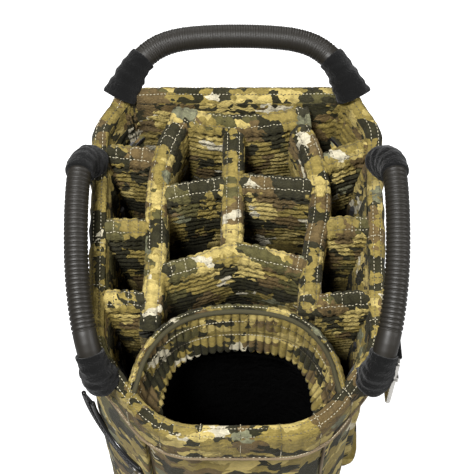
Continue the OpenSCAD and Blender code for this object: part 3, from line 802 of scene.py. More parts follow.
def build_collar_lining():
    """Gathered fabric inside the collar, from the roll down into the bag."""
    path = rim_path(3.0)
    rows = []
    for i, (p, t) in enumerate(zip(path, tangents(path, True))):
        inward = left_of(t)
        row = []
        for k in range(96):
            depth = -6 - 1.6 * k
            base = 14.5 + 5.2 * smoothstep(-12, -50, depth) + 4.0 * smoothstep(-50, -80, depth)
            ribs = 2.0 * ribbing(depth, 3.0 * i, 7.0, 3.0) - 1.0
            folds = 1.6 * gather(p) * math.exp(depth / 60) + 1.1 * rough((i / 2.2, depth / 60, 7), 1.0)
            soft = (ribs + folds) * (1 - smoothstep(-22, -6, depth))
            rib = ribbing(depth, 3.0 * i, 7.0, 3.0)
            fan = max(0.0, -gather(p)) * math.exp(depth / 60)
            # Painted shade in the valleys between the ribs and under the gathers' folds.
            seam = 0.75 * (1 - rib) ** 2 + 0.5 * fan
            row.append(raised(p, inward * (base + soft), depth + droop(p, depth), min(1.0, seam)))
        row += [q - Vector((inward.x, inward.y, 0, 0)) * 1.3 for q in row[::-6]]
        rows.append(row)
    rows.append(rows[0])
    lining = loft("collar_lining", rows, ring=True, loop=True)
    wear(lining, finish("camo lining"))


def ribbing(depth, along, pitch=6.4, seed=1.0):
    """Puffed horizontal channels quilted into a hanging wall, 0 in the seams and 1 on the crests."""
    phase = (depth + 3.0 * rough((along / 21, depth / 40, seed), 1.0)) / pitch
    return abs(math.sin(math.pi * phase)) ** 0.6


QUILT_PITCH = 8.2


def cross_seam(along, room, p):
    """Nearness to one of the seams sewn across a bar, 0 to 1."""
    phase = (along + 1.5 * rough((p.x, p.y, 9), 19)) / QUILT_PITCH
    return abs(math.cos(math.pi * phase)) ** 9


def bar_top(half, offset, along, room, p):
    """Height of a bar's padded top at an offset from its centre line."""
    share = min(1.0, abs(offset) / half)
    dome = -8.5 * (1 - math.sqrt(max(0.0, 1 - share ** 2.3)))
    grooves = -1.2 * math.exp(-(((abs(offset) - 0.56 * half) / 1.1) ** 2))
    ends = -3.6 * (1 - smoothstep(0, 8, along)) - 3.6 * (1 - smoothstep(0, 8, room))
    gathers = -(0.9 + 1.4 * share) * cross_seam(along, room, p)
    return dome + grooves + ends + gathers + pucker(p, 9, 1.4, half) - 0.2


def under_collar(p, height):
    """The plan point that a hanging wall drops to, drawn in where it would leave the body."""
    if height > -40:
        return p
    widest = 84.0 if p.y < -95 else 109.0
    return Vector((max(-widest, min(widest, p.x)), max(-104.0, min(116.0, p.y))))


def bar_rows(line, half, step=1.8):
    """Rings along a bar: padded top, quilted sides, and a wall that narrows down to the base."""
    path = resample(line, step)
    length = step * (len(path) - 1)
    rows = []
    for i, (p, t) in enumerate(zip(path, tangents(path))):
        side = left_of(t)
        along = i * step
        room = length - along
        tucked = cross_seam(along, room, p)
        flanks = []
        for sign in (-1, 1):
            flank = []
            for k in range(66):
                depth = -9.0 - 1.2 * k
                wide = half * (1 - 0.55 * smoothstep(-40, -86, depth))
                rib = ribbing(depth, along, seed=half * sign)
                gathers = -1.9 * tucked * smoothstep(-26, -9, depth)
                loose = 0.8 * rough((along / 7, depth / 9, sign), 1.0)
                puff = (2.7 * rib - 2.0) * (1 - smoothstep(-14, -8, depth))
                out = sign * (wide + puff + gathers + loose)
                # The third number is painted shade in the rib valleys and the tucks across the bar.
                flank.append((out, depth, 0.9 * (1 - rib) ** 2 + 0.2 * tucked))
            # Painted shade, darker down the wall below the ribs.
            flank += [(sign * 0.3 * half, -112.0, 0.5), (sign * 2.0, -150.0, 0.9)]
            flank.append((sign * 1.6, BASE_TOP + 2 - collar_z(p.y), 0.9))
            flanks.append(flank)
        row = [raised(under_collar(p, h), side * w, h, seam) for w, h, seam in reversed(flanks[0])]
        for a in range(-84, 85, 7):
            o = half * math.sin(math.radians(a))
            stitched = math.exp(-(((abs(o) - 0.56 * half) / 0.9) ** 2))
            # Painted shade in the stitched grooves and the seams across the top.
            row.append(raised(p, side * o, bar_top(half, o, along, room, p + side * o),
                              0.3 * stitched + 0.45 * tucked * (0.4 + abs(o) / half)))
        row += [raised(under_collar(p, h), side * w, h, seam) for w, h, seam in flanks[1]]
        rows.append(row)
    return rows


def bar_seams(line, half, step=1.8):
    """Two rows of stitching along a bar and one across it near each end."""
    path = resample(line, step)
    ways = tangents(path)
    length = step * (len(path) - 1)
    up = Vector((0, -math.sin(COLLAR_SLOPE), math.cos(COLLAR_SLOPE)))
    runs = []
    for s in (-0.56 * half, 0.56 * half):
        run = []
        for i, (p, t) in enumerate(zip(path, ways)):
            if 4 < i * step < length - 4:
                o = left_of(t) * s
                run.append(raised(p, o, bar_top(half, s, i * step, length - i * step, p + o) + 0.15))
        if len(run) > 2:
            runs.append((run, up))
    for i in (round(10 / step), round(24 / step), len(path) - 1 - round(10 / step)):
        if i >= len(path):
            continue
        p, side = path[i], left_of(ways[i])
        across = [0.56 * half * k / 3 for k in range(-3, 4)]
        runs.append(([raised(p, side * o, bar_top(half, o, i * step, length - i * step, p + side * o) + 0.15)
                      for o in across], up))
    return runs


def build_bar(node, line, cuts, half, material):
    points = cut_corners(line, cuts)
    bar = loft(node + "_fabric", bar_rows(points, half), ring=True, capped=True)
    wear(bar, finish(material), stands_for=[node])
    return bar_seams(points, half)


def build_dividers():
    runs = []
    for node, (line, cuts) in DIVIDERS.items():
        runs += build_bar(node, line, cuts, 9.6, "camo bars")
    stitches("divider_stitching", runs, "thread bars")


def build_crossbars():
    runs = []
    for node, (line, cuts) in CROSSBARS.items():
        runs += build_bar(node, line, cuts, 9.0, "camo crossbars")
    stitches("crossbar_stitching", runs, "thread crossbars")


def pleat_row(p, inward, run, share_along):
    """One station of the well's throat: two pleated tiers, drawn in further towards both ends."""
    wave = abs(math.sin(math.pi * (run + 1.2 * rough((run, 2, 2), 23)) / 7.6))
    fold = 2.0 * wave ** 0.6 - 1.2
    valley = max(0.0, 1 - 1.9 * wave)
    drawn = 11.0 * smoothstep(0.2, 0.5, abs(share_along - 0.5))
    # The fourth number of each point is painted shade in the pleats' valleys and at the line between the tiers.
    points = [(4.2, -2.5, 0.0, 0.0)]
    for k in range(12):
        share = k / 11
        swell = 1.7 * math.sin(math.pi * share) ** 0.5
        points.append((4.6 + (2.6 + 0.3 * drawn) * share, -4 - 25 * share, swell,
                       0.9 * valley * smoothstep(0.0, 0.35, share)))
    points.append((7.2 + 0.3 * drawn, -30.0, 0.2, 0.8))
    for k in range(10):
        share = (k + 1) / 10
        points.append((7.8 + 0.3 * drawn + (4.4 + 0.7 * drawn) * share, -31 - (22 + 2.4 * wave) * share,
                       1.7 * math.sin(math.pi * (0.15 + 0.6 * share)), 1.0 * valley))
    wobble = 0.5 * rough((run / 17, 1, 4), 1.0)
    front = [raised(p, inward * (d + a * fold + wobble * a), h, seam) for d, h, a, seam in points]
    # Painted shade on the back of the throat.
    back = [raised(p, inward * (d - 1.2 + a * fold + wobble * a), h, 0.9) for d, h, a, _ in reversed(points)]
    return front + back


def build_putter_well():
    """Arch bar, its piping and the pleated throat that hangs inside it."""
    line, cuts = ARCH
    points = cut_corners(line, cuts)
    arch = loft("putter_well_arch_fabric", bar_rows(points, 4.2), ring=True, capped=True)
    wear(arch, finish("camo arch"), stands_for=["putter_well_arch"])
    path = resample(points, 0.9)
    ways = tangents(path)
    last = len(path) - 1
    rows = [pleat_row(p, -left_of(t), i * 0.9, i / last) for i, (p, t) in enumerate(zip(path, ways))]
    throat = loft("putter_well_throat", rows, ring=True, capped=True)
    wear(throat, finish("camo throat"), stands_for=["putter_well_gusset"])
    coarse = resample(points, 3.0)
    ways = tangents(coarse)
    edge = [raised(p, -left_of(t) * 4.4, -1.6) for p, t in zip(coarse, ways)]
    piping("putter_well_piping", edge, 2.1, "olive piping")
    runs = []
    for d, h, up in ((0.6, -0.5, 3.0), (7.4, -12.0, 0.3), (9.4, -30.5, 0.3)):
        for k in range(0, len(coarse) - 2, 2):
            out = -left_of(ways[k])
            run = [raised(coarse[j], -left_of(ways[j]) * d, h) for j in range(k, k + 3)]
            runs.append((run, Vector((out.x, out.y, up))))
    stitches("putter_well_stitching", runs, "thread arch")


# ---------------------------------------------------------------- handles


def handle_path(points, step, mirror=1):
    path = [on_collar(mirror * u, v, w) for u, v, w in points]
    return resample(cut_corners(path, 2), step)


def grip_radius(count, step, radius, pitch, groove, plain_start, plain_end):
    """Radius along a moulded grip: narrow grooves between ribs, and plain ends."""
    length = (count - 1) * step

    def radius_at(i, angle):
        run = i * step
        if run < plain_start or length - run < plain_end:
            return radius - 0.3
        phase = (run / pitch) % 1.0
        dip = math.exp(-(((phase - 0.5) / 0.14) ** 2))
        return radius - groove * dip

    return radius_at


def build_handles():
    """Ribbed rubber grips and the stretch cuffs round their feet."""
    step = 0.5
    path = handle_path(REAR_HANDLE, step)
    radius = grip_radius(len(path), step, 11.0, 2.3, 0.8, 40, 40)
    rows = tube_rows(path, radius, 20)
    grip = loft("rear_grip_rubber", rows, ring=True, capped=True)
    wear(grip, finish("grip"), stands_for=["rear_handle_grip"])
    for side, label in ((-1, "left"), (1, "right")):
        path = handle_path(SIDE_HANDLE, step, side)
        radius = grip_radius(len(path), step, 10.5, 4.0, 1.2, 26, 48)
        grip = loft(label + "_grip_rubber", tube_rows(path, radius, 20), ring=True, capped=True)
        wear(grip, finish("grip"), stands_for=[label + "_handle_grip"])
    for label, line, mirror, reach in (
        ("rear", REAR_HANDLE, 1, 38), ("left", SIDE_HANDLE, -1, 30), ("right", SIDE_HANDLE, 1, 30),
    ):
        for backwards in (False, True):
            path = handle_path(line, 1.5, mirror)
            if backwards:
                path = path[::-1]
            build_cuff(label + ("_cuff_b" if backwards else "_cuff_a"), path, reach)
        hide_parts(label + "_handle_cuffs")


def build_cuff(name, path, reach):
    """A sleeve of stretch fabric that spreads from the grip to the rim."""
    count = int(reach / 1.5)
    start = path[0] - unit(path[1] - path[0]) * 6
    points = [start.lerp(path[0], k / 3) for k in range(3)] + path[:count]

    def radius(i, angle):
        share = i / (len(points) - 1)
        wide = 15.6 - 3.2 * smoothstep(0.0, 0.9, share)
        twist = 1.0 * math.sin(3 * angle + 7 * share + 2 * rough((share * 3, angle, 2), 1.0))
        rings = 0.8 * math.sin(2 * math.pi * 4.5 * share + 1.3 * math.sin(angle))
        return wide + (twist + rings) * (1 - 0.75 * share)

    rows = tube_rows(points, radius, 28)
    last = points[-1]
    rows.append([last + (q - last) * 0.9 for q in rows[-1]])
    cuff = loft(name, rows, ring=True, capped=True)
    wear(cuff, finish("cuff"))
    return cuff


# ---------------------------------------------------------------- body and pockets


def body_panel(name, node, points, material, seed):
    """A fabric panel of the body from the base to the collar, with folds towards its top."""
    ways = tangents(points)
    length = sum((b - a).length for a, b in zip(points, points[1:]))
    step = length / (len(points) - 1)
    rows = []
    for i, (p, t) in enumerate(zip(points, ways)):
        inward = left_of(t)
        high = collar_z(p.y) - 45.0
        edge = min(i * step, length - i * step)
        seam = -1.0 * math.exp(-((edge / 5) ** 2))
        outer = []
        for k in range(46):
            share = k / 45
            z = BASE_TOP + 0.5 + (high - BASE_TOP - 0.5) * share
            near_top = smoothstep(0.55, 0.97, share)
            folds = 1.9 * math.sin(2 * math.pi * (i * step / 24 + 0.25 * rough((i / 5, z / 60, seed), 1.0)))
            slack = 2.0 * rough((i * step, z / 1.6, seed), 42) + 1.0 * rough((i * step, z, seed), 15)
            tuck = -2.2 * math.exp(-((high - z) / 9) ** 2) - 1.2 * math.exp(-((z - BASE_TOP) / 7) ** 2)
            push = max(-1.2, seam + folds * near_top * 0.8 + slack + tuck + 0.8)
            outer.append((inward * -push, z))
        row = [Vector(((p + o).x, (p + o).y, z)) for o, z in outer]
        row += [Vector(((p + inward * 3.5).x, (p + inward * 3.5).y, z)) for o, z in reversed(outer[::5])]
        rows.append(row)
    panel = loft(name, rows, ring=True, capped=True)
    wear(panel, finish(material), stands_for=[node])
    return panel


def build_body():
    """Front, side and spine panels with piped seams between them."""
    path = body_path(5.0)
    corner_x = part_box("front_panel")[1].x / MM
    front = sorted([p for p in path if abs(p.x) < corner_x and p.y < 0], key=lambda p: p.x)
    right = sorted([p for p in path if p.x >= corner_x], key=lambda p: p.y)
    spine = sorted([p for p in path if abs(p.x) < corner_x and p.y > 0], key=lambda p: -p.x)
    left = sorted([p for p in path if p.x <= -corner_x], key=lambda p: -p.y)
    body_panel("front_fabric", "front_panel", left[-1:] + front + right[:1], "camo body", 1)
    body_panel("right_fabric", "right_panel", front[-1:] + right + spine[:1], "camo body", 2)
    body_panel("spine_fabric", "spine_panel", right[-1:] + spine + left[:1], "spacer mesh", 3)
    body_panel("left_fabric", "left_panel", spine[-1:] + left + front[:1], "camo body", 4)
    for label, a, b in (("front_left", left[-1], front[0]), ("front_right", front[-1], right[0]),
                        ("rear_right", right[-1], spine[0]), ("rear_left", spine[-1], left[0])):
        p = (a + b) / 2
        out = unit(Vector((p.x, p.y))) * 1.0
        high = collar_z(p.y) - 47
        rise = high - BASE_TOP - 2
        points = [Vector((p.x + out.x, p.y + out.y, BASE_TOP + 2 + rise * k / 30)) for k in range(31)]
        piping("seam_" + label, points, 1.6, "taupe binding")


def pocket_rings(ring, low, high, crown, seed, rows=44, round_off=16.0):
    """Rings up a stuffed pocket: rounded bottom and top edges, sides that swell and crease."""
    centre = sum(ring, Vector((0, 0))) / len(ring)
    result = []
    for k in range(rows + 1):
        angle = math.pi * k / rows
        share = 0.5 - 0.5 * math.cos(angle)
        z = low + (high - low) * share
        rim = min(z - low, high - z)
        inset = round_off * (1 - math.sqrt(max(0.0, 1 - (1 - min(1.0, rim / round_off)) ** 2)))
        swell = crown * math.sin(math.pi * share) ** 0.6
        row = []
        for i, (p, t) in enumerate(zip(ring, tangents(ring, True))):
            inward = left_of(t)
            crease = 1.6 * rough((i * 3.0, z, seed), 26) + 0.9 * rough((i * 3.0, z / 1.7, seed), 10)
            q = p + inward * (inset - (swell + crease) * (1 - 0.7 * inset / round_off))
            q = q.lerp(centre, 0.0 if 0 < k < rows else 0.15)
            row.append(Vector((q.x, q.y, z)))
        result.append(row)
    return result


def build_pockets():
    """The stuffed apparel, ball and valuables pockets."""
    body = body_path(4.0)
    ways = tangents(body, True)
    skin = [p - left_of(t) * 0.6 for p, t in zip(body, ways)]
    low, high = (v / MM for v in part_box("apparel_pocket"))
    outer = [Vector(c) for c in ((-86, low.y + 3), (low.x + 1, -59), (low.x + 1, 52), (-117, high.y - 1))]
    bend = cut_corners(outer, 3)
    back = sorted([p for p in skin if p.x < -80 and -118 < p.y < high.y - 3], key=lambda p: -p.y)
    ring = resample(bend + back, 4.0, closed=True)[::-1]
    rows = pocket_rings(ring, low.z, high.z, 2.2, 11.0)
    piece = loft("apparel_pocket_fabric", rows, ring=True, capped=True)
    wear(piece, finish("camo body"), stands_for=["apparel_pocket"])
    low, high = (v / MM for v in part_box("ball_pocket"))
    back = sorted([p for p in skin if low.x + 1 < p.x < high.x - 1 and p.y < 0], key=lambda p: p.x)
    outer = [Vector(c) for c in (
        (high.x, back[-1].y - 1), (high.x - 6, low.y), (low.x + 6, low.y), (low.x, back[0].y - 1),
    )]
    ring = resample(cut_corners(outer, 3) + back, 4.0, closed=True)
    rows = pocket_rings(ring[::-1], low.z, high.z, 1.5, 12.0)
    piece = loft("ball_pocket_fabric", rows, ring=True, capped=True)
    wear(piece, finish("camo body"), stands_for=["ball_pocket"])
    low, high = (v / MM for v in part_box("valuables_pocket"))
    outer = [Vector(c) for c in ((116.8, low.y), (high.x, low.y + 7), (high.x, high.y - 7), (116.8, high.y))]
    back = [Vector((116.8, high.y)), Vector((116.8, low.y))]
    ring = resample(cut_corners(outer, 3) + back, 3.0, closed=True)
    rows = pocket_rings(ring[::-1], low.z, high.z, 1.0, 13.0, 30, 8.0)
    piece = loft("valuables_pocket_fabric", rows, ring=True, capped=True)
    wear(piece, finish("camo body"), stands_for=["valuables_pocket"])
    build_zips()


# The curved zip's face, from corner to corner, and the middle of its arc
ZIP_FACE_START = Vector((-150.0, -58.0, 0.0))
ZIP_FACE_END = Vector((-84.0, -132.0, 0.0))
ZIP_ARC_CENTRE = 57.0
ZIP_ARC_Z = 640.0


def arc_point(radius, degrees, stand):
    """A point of the curved zip on the pocket's slanting front face, standing off the face by stand."""
    along = unit(ZIP_FACE_END - ZIP_FACE_START)
    outward = Vector((along.y, -along.x, 0.0))
    angle = math.radians(degrees)
    centre = ZIP_FACE_START + along * ZIP_ARC_CENTRE + Vector((0, 0, ZIP_ARC_Z))
    spoke = along * radius * math.cos(angle) + Vector((0, 0, radius * math.sin(angle)))
    return centre + spoke + outward * stand


def build_zips():
    """Bound lips and rows of teeth along the curved zip."""
    for label, radius in (("outer", 59.5), ("inner", 44.5)):
        points = [arc_point(radius, degrees, 1.6) for degrees in range(178, 309, 3)]
        piping("zip_lip_" + label, points, 2.4, "zip", sides=10)
    mesh = bmesh.new()
    outward = unit(arc_point(52, 180, 1) - arc_point(52, 180, 0))
    for k in range(44):
        degrees = 181 + k * 2.85
        p = arc_point(51.2 + 1.6 * (k % 2), degrees, 3.7)
        n = unit(p - arc_point(0, degrees, 3.7))
        turn = Matrix((n, outward.cross(n), outward)).transposed().to_4x4()
        size = Matrix.Diagonal((3.2 * MM, 1.3 * MM, 1.2 * MM, 1))
        bmesh.ops.create_cube(mesh, size=1, matrix=Matrix.Translation(p * MM) @ turn @ size)
    wear(finish_mesh("zip_teeth", mesh, smooth=False), finish("plastic"))


# ---------------------------------------------------------------- strap


def flat_strip(name, points, across, width, thick, material, stands_for=()):
    """A flat strap along millimetre points, its width along one direction."""
    rows = []
    for p, t in zip(points, tangents(points)):
        n = unit(t.cross(across))
        w, h = across * width / 2, n * thick / 2
        rows.append([p - w - h * 0.4, p - w * 0.97 - h, p + w * 0.97 - h, p + w - h * 0.4,
                     p + w + h * 0.4, p + w * 0.97 + h, p - w * 0.97 + h, p - w + h * 0.4])
    strip = loft(name, rows, ring=True, capped=True)
    return wear(strip, finish(material), stands_for=stands_for)


def puff(obj, pressure=4.0, cap=6.0, voxel=5.0):
    """Blows a stitched pad up with a cloth simulation and keeps the result."""
    remesh = obj.modifiers.new("Remesh", "REMESH")
    remesh.mode = "VOXEL"
    remesh.voxel_size = voxel * MM
    bake(obj)
    start = [v.co.copy() for v in obj.data.vertices]
    cloth = obj.modifiers.new("Cloth", "CLOTH")
    cloth.settings.use_pressure = True
    cloth.settings.uniform_pressure_force = pressure
    cloth.settings.effector_weights.gravity = 0
    cloth.settings.mass = 0.2
    cloth.point_cache.frame_start = 1
    cloth.point_cache.frame_end = 20
    for number in range(1, 21):
        bpy.context.scene.frame_set(number)
    bake(obj)
    bpy.context.scene.frame_set(1)
    for vertex, origin in zip(obj.data.vertices, start):
        moved = vertex.co - origin
        if moved.length > cap * MM:
            vertex.co = origin + unit(moved) * cap * MM
    smooth = obj.modifiers.new("Subdivision", "SUBSURF")
    smooth.levels = smooth.render_levels = 1
    bake(obj)
    obj.data.polygons.foreach_set("use_smooth", [True] * len(obj.data.polygons))
    return obj


def bake(obj):
    """Applies an object's modifiers to its mesh."""
    evaluated = obj.evaluated_get(bpy.context.evaluated_depsgraph_get())
    data = bpy.data.meshes.new_from_object(evaluated)
    obj.modifiers.clear()
    obj.data = data


def build_strap():
    """Shoulder pad, webbing and the loop for the towel clip."""
    low, high = (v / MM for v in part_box("strap_webbing"))
    y = (low.y + high.y) / 2
    x = (low.x + high.x) / 2 + 0.3
    rise = (high.z - low.z) / 70
    points = [Vector((x + 0.8 * math.sin(k / 3.1), y + 0.5 * math.sin(k / 5), low.z + rise * k))
              for k in range(71)]
    across = Vector((0, 1, 0))
    flat_strip("strap_webbing_fabric", points, across, high.y - low.y, 2.0, "webbing",
               ["strap_webbing"])
    low, high = (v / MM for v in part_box("strap_pad"))
    y, thick = (low.y + high.y) / 2, high.x - low.x
    half = (high.y - low.y) / 2 - 2
    rows = []
    for k in range(53):
        share = k / 52
        z = low.z + 2 + (high.z - low.z - 4) * share
        ends = min(z - low.z, high.z - z)
        waist = 1 - 0.08 * math.sin(math.pi * share)
        wide = half * math.sqrt(max(0.02, 1 - (1 - min(1.0, ends / 26)) ** 2)) * waist
        plump = min(1.0, 0.25 + ends / 16)
        row = []
        for j in range(28):
            a = 2 * math.pi * j / 28
            c, s = math.cos(a), math.sin(a)
            reach = abs(c) ** 0.6 * (1 if c > 0 else -1)
            lift = abs(s) ** 0.8 * (1 if s > 0 else -1)
            row.append(Vector((low.x + thick / 2 + lift * (thick / 2 - 1.5) * plump, y + reach * wide, z)))
        rows.append(row)
    pad = loft("strap_pad_fabric", rows, ring=True, capped=True)
    puff(pad)
    wear(pad, finish("spacer mesh"), stands_for=["strap_pad"])
    edge = []
    for k in range(81):
        a = 2 * math.pi * k / 80
        reach = abs(math.cos(a)) ** 0.55 * (1 if math.cos(a) > 0 else -1)
        lift = abs(math.sin(a)) ** 0.22 * (1 if math.sin(a) > 0 else -1)
        height = (low.z + high.z) / 2 + lift * (high.z - low.z - 4) / 2
        edge.append(Vector((low.x + thick / 2 + 1, y + reach * (half - 0.5), height)))
    piping("strap_pad_binding", edge[:-1], 1.6, "webbing", closed=True)
    low, high = (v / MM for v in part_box("clip_loop"))
    y = (low.y + high.y) / 2
    x, z = 138.0, 784.0
    points = [Vector((low.x - 4, y, z + 4.4)), Vector((low.x + 2, y, z + 4.2))]
    points += [Vector((x + 4.0 * math.sin(a), y, z + 4.0 * math.cos(a)))
               for a in (math.radians(d) for d in range(0, 181, 20))]
    points += [Vector((low.x + 2, y, z - 4.2)), Vector((low.x - 4, y, z - 4.4))]
    flat_strip("clip_loop_webbing", points, Vector((0, 1, 0)), 18.0, 1.5, "webbing", ["clip_loop"])


# ---------------------------------------------------------------- hard pieces


HARD_FINISHES = {
    "base plastic": ["base_cup", "foot_lever"],
    "plastic": ["collar_frame", "body_stays", "strap_buckles", "leg_bracket", "rod_guides"],
    "sole rubber": ["base_sole", "left_leg_foot", "right_leg_foot"],
    "alloy": ["left_leg", "right_leg"],
    "steel": ["lever_pin", "leg_pins", "push_rods", "handle_screws"],
    "nickel": ["towel_clip", "clip_gate", "apparel_slider", "apparel_puller", "ball_slider", "ball_puller",
               "valuables_slider", "valuables_puller"],
    "zip": ["apparel_zipper", "ball_zipper", "valuables_zipper"],
}


def finish_hard_pieces():
    """Plastic, rubber and metal finishes on the pieces carried over from the frame."""
    for name, nodes in HARD_FINISHES.items():
        for node in nodes:
            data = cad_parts[node].data
            for index in range(len(data.materials)):
                data.materials[index] = finish(name)


# ---------------------------------------------------------------- stage


def build_stage(light):
    """Pale floor, soft lights and the camera."""
    mesh = bmesh.new()
    bmesh.ops.create_grid(mesh, x_segments=8, y_segments=8, size=6.0)
    floor = finish_mesh("floor", mesh)
    material, tree, shader = blank_material("Pale floor")
    shader.inputs["Base Color"].default_value = (0.6, 0.6, 0.6, 1)
    shader.inputs["Roughness"].default_value = 0.9
    shader.inputs["Emission Color"].default_value = (1, 1, 1, 1)
    seen = put(tree, "ShaderNodeLightPath").outputs["Is Camera Ray"]
    tree.links.new(maths(tree, "MULTIPLY", seen, light.floor), shader.inputs["Emission Strength"])
    floor.data.materials.append(material)
    bpy.context.scene.view_settings.view_transform = "Standard"
    world = bpy.data.worlds.new("Studio")
    bpy.context.scene.world = world
    world.use_nodes = True
    tree = world.node_tree
    tree.nodes.clear()
    rays = put(tree, "ShaderNodeLightPath")
    strength = put(tree, "ShaderNodeMapRange", {"Value": rays.outputs["Is Camera Ray"], "To Min": light.fill})
    sky = put(tree, "ShaderNodeBackground", {"Color": (1, 1, 1, 1), "Strength": strength.outputs[0]})
    tree.links.new(sky.outputs[0], put(tree, "ShaderNodeOutputWorld").inputs["Surface"])
    for name, place, size, power in (
        ("Key", (-0.6, -0.9, 2.9), 0.45, light.key), ("Side", (1.9, -0.5, 2.0), 0.7, light.key * 0.3),
        ("Back", (-0.4, 1.9, 2.3), 1.2, light.key * 0.25),
    ):
        lamp = bpy.data.lights.new(name, "AREA")
        lamp.size = size
        lamp.energy = power
        holder = bpy.data.objects.new(name, lamp)
        holder.location = place
        aim = Vector((0, 0, 0.8)) - Vector(place)
        holder.rotation_euler = aim.to_track_quat("-Z", "Y").to_euler()
        bpy.context.scene.collection.objects.link(holder)
    camera = bpy.data.cameras.new("Camera")
    camera.lens = 78.4
    camera.sensor_width = 36
    viewer = bpy.data.objects.new("Camera", camera)
    viewer.location = (0, -0.521, 1.574)
    viewer.rotation_euler = Vector((0, 0.574, -0.819)).to_track_quat("-Z", "Y").to_euler()
    bpy.context.scene.collection.objects.link(viewer)
    bpy.context.scene.camera = viewer


# ---------------------------------------------------------------- add-on


def colour_property(name, description, default):
    return FloatVectorProperty(
        name=name, description=description, default=default, subtype="COLOR", size=3, min=0.0, max=1.0,
    )


class BagColours(PropertyGroup):
    dark_olive: colour_property("Dark olive", "Darkest blotch of the print", (0.024, 0.022, 0.009))
    olive: colour_property("Olive", "Middle green blotch of the print", (0.088, 0.078, 0.026))
    khaki: colour_property("Khaki", "Yellow green blotch of the print", (0.25, 0.19, 0.05))
    tan: colour_property("Tan", "Pale yellow blotch of the print", (0.46, 0.36, 0.12))
    brown: colour_property("Brown", "Brown blotch of the print", (0.13, 0.088, 0.034))
    grey_green: colour_property("Grey green", "Dull green blotch of the print", (0.17, 0.17, 0.1))
    cream: colour_property("Cream", "Palest blotch of the print", (0.55, 0.5, 0.36))
    # Also the painted shade that the camouflage turns to deep in the slots, down the putter well and in its
    # seams and creases.
    black_fabric_and_shade: colour_property("Black fabric", "Cuffs, webbing and lining", (0.0035, 0.0035, 0.0035))
    grip_rubber: colour_property("Grip rubber", "Handles and soles", (0.013, 0.011, 0.008))
    black_plastic: colour_property("Black plastic", "Base, lever and brackets", (0.018, 0.018, 0.018))
    olive_piping: colour_property("Olive piping", "Welts in the seams", (0.045, 0.04, 0.02))
    taupe_binding: colour_property("Taupe binding", "Binding of the collar and the well", (0.2, 0.15, 0.09))
    thread: colour_property("Thread", "Contrast stitching", (0.42, 0.38, 0.26))
    # Painted shade of the stitch grooves, used on the thread over pale blotches.
    stitch_groove_shade: colour_property("Dark thread", "Stitching over pale blotches", (0.06, 0.05, 0.03))
    nickel: colour_property("Nickel", "Clip, sliders and pullers", (0.62, 0.6, 0.56))
    steel: colour_property("Steel", "Rods, pins and screws", (0.5, 0.5, 0.5))
    leg_alloy: colour_property("Leg alloy", "Anodised legs", (0.06, 0.06, 0.065))


class BagLight(PropertyGroup):
    fill: FloatProperty(name="Fill", description="Strength of the light from all round", default=0.16, min=0.0)
    key: FloatProperty(name="Key", description="Power of the main lamp", default=95.0, min=0.0, unit="POWER")
    floor: FloatProperty(name="Floor", description="Brightness added to the pale floor", default=0.85, min=0.0)


class GOLFBAG_OT_stage(Operator):
    """Lay the floor, hang the lights and set the camera"""

    bl_idname = "golfbag.stage"
    bl_label = "Stage"

    def execute(self, context):
        build_stage(context.scene.bag_light)
        return {"FINISHED"}


class GOLFBAG_OT_hard_pieces(Operator):
    """Finish the plastic, rubber and metal pieces"""

    bl_idname = "golfbag.hard_pieces"
    bl_label = "Hard pieces"

    def execute(self, context):
        finish_hard_pieces()
        return {"FINISHED"}


class GOLFBAG_OT_collar(Operator):
    """Pad the collar's rim and line its inside"""

    bl_idname = "golfbag.collar"
    bl_label = "Collar"

    def execute(self, context):
        build_collar_rim()
        build_collar_lining()
        return {"FINISHED"}


class GOLFBAG_OT_dividers(Operator):
    """Sew the long padded dividers"""

    bl_idname = "golfbag.dividers"
    bl_label = "Dividers"

    def execute(self, context):
        build_dividers()
        return {"FINISHED"}


class GOLFBAG_OT_crossbars(Operator):
    """Sew the short padded crossbars"""

    bl_idname = "golfbag.crossbars"
    bl_label = "Crossbars"

    def execute(self, context):
        build_crossbars()
        return {"FINISHED"}


class GOLFBAG_OT_putter_well(Operator):
    """Make the putter well's arch and pleated throat"""

    bl_idname = "golfbag.putter_well"
    bl_label = "Putter well"

    def execute(self, context):
        build_putter_well()
        return {"FINISHED"}


class GOLFBAG_OT_handles(Operator):
    """Mould the grips and fit their cuffs"""

    bl_idname = "golfbag.handles"
    bl_label = "Handles"

    def execute(self, context):
        build_handles()
        return {"FINISHED"}


class GOLFBAG_OT_body(Operator):
    """Hang the body's fabric panels"""

    bl_idname = "golfbag.body"
    bl_label = "Body panels"

    def execute(self, context):
        build_body()
        return {"FINISHED"}


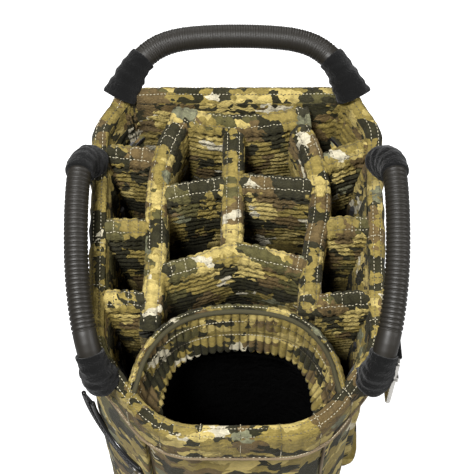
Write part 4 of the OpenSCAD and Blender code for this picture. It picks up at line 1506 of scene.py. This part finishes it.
class GOLFBAG_OT_pockets(Operator):
    """Stuff the pockets"""

    bl_idname = "golfbag.pockets"
    bl_label = "Pockets"

    def execute(self, context):
        build_pockets()
        return {"FINISHED"}


class GOLFBAG_OT_strap(Operator):
    """Make the shoulder strap and the clip's loop"""

    bl_idname = "golfbag.strap"
    bl_label = "Strap"

    def execute(self, context):
        build_strap()
        return {"FINISHED"}


PIECE_OPERATORS = [
    GOLFBAG_OT_stage, GOLFBAG_OT_hard_pieces, GOLFBAG_OT_collar, GOLFBAG_OT_dividers, GOLFBAG_OT_crossbars,
    GOLFBAG_OT_putter_well, GOLFBAG_OT_handles, GOLFBAG_OT_body, GOLFBAG_OT_pockets, GOLFBAG_OT_strap,
]


class GOLFBAG_PT_pieces(Panel):
    """Lists the bag's pieces and its colours"""

    bl_idname = "GOLFBAG_PT_pieces"
    bl_label = "Golf Stand Bag"
    bl_space_type = "VIEW_3D"
    bl_region_type = "UI"
    bl_category = "Golf Bag"

    def draw(self, context):
        for operator in PIECE_OPERATORS:
            self.layout.operator(operator.bl_idname)
        for group in (context.scene.bag_light, context.scene.bag_colours):
            box = self.layout.box()
            for name in group.__annotations__:
                box.prop(group, name)


CLASSES = [BagColours, BagLight] + PIECE_OPERATORS + [GOLFBAG_PT_pieces]


def register():
    for cls in CLASSES:
        bpy.utils.register_class(cls)
    bpy.types.Scene.bag_colours = PointerProperty(type=BagColours)
    bpy.types.Scene.bag_light = PointerProperty(type=BagLight)


def unregister():
    del bpy.types.Scene.bag_light
    del bpy.types.Scene.bag_colours
    for cls in reversed(CLASSES):
        bpy.utils.unregister_class(cls)


def main():
    register()
    bpy.ops.golfbag.stage()
    bpy.ops.golfbag.hard_pieces()
    bpy.ops.golfbag.collar()
    bpy.ops.golfbag.dividers()
    bpy.ops.golfbag.crossbars()
    bpy.ops.golfbag.putter_well()
    bpy.ops.golfbag.handles()
    bpy.ops.golfbag.body()
    bpy.ops.golfbag.pockets()
    bpy.ops.golfbag.strap()


if __name__ == "__main__":
    main()
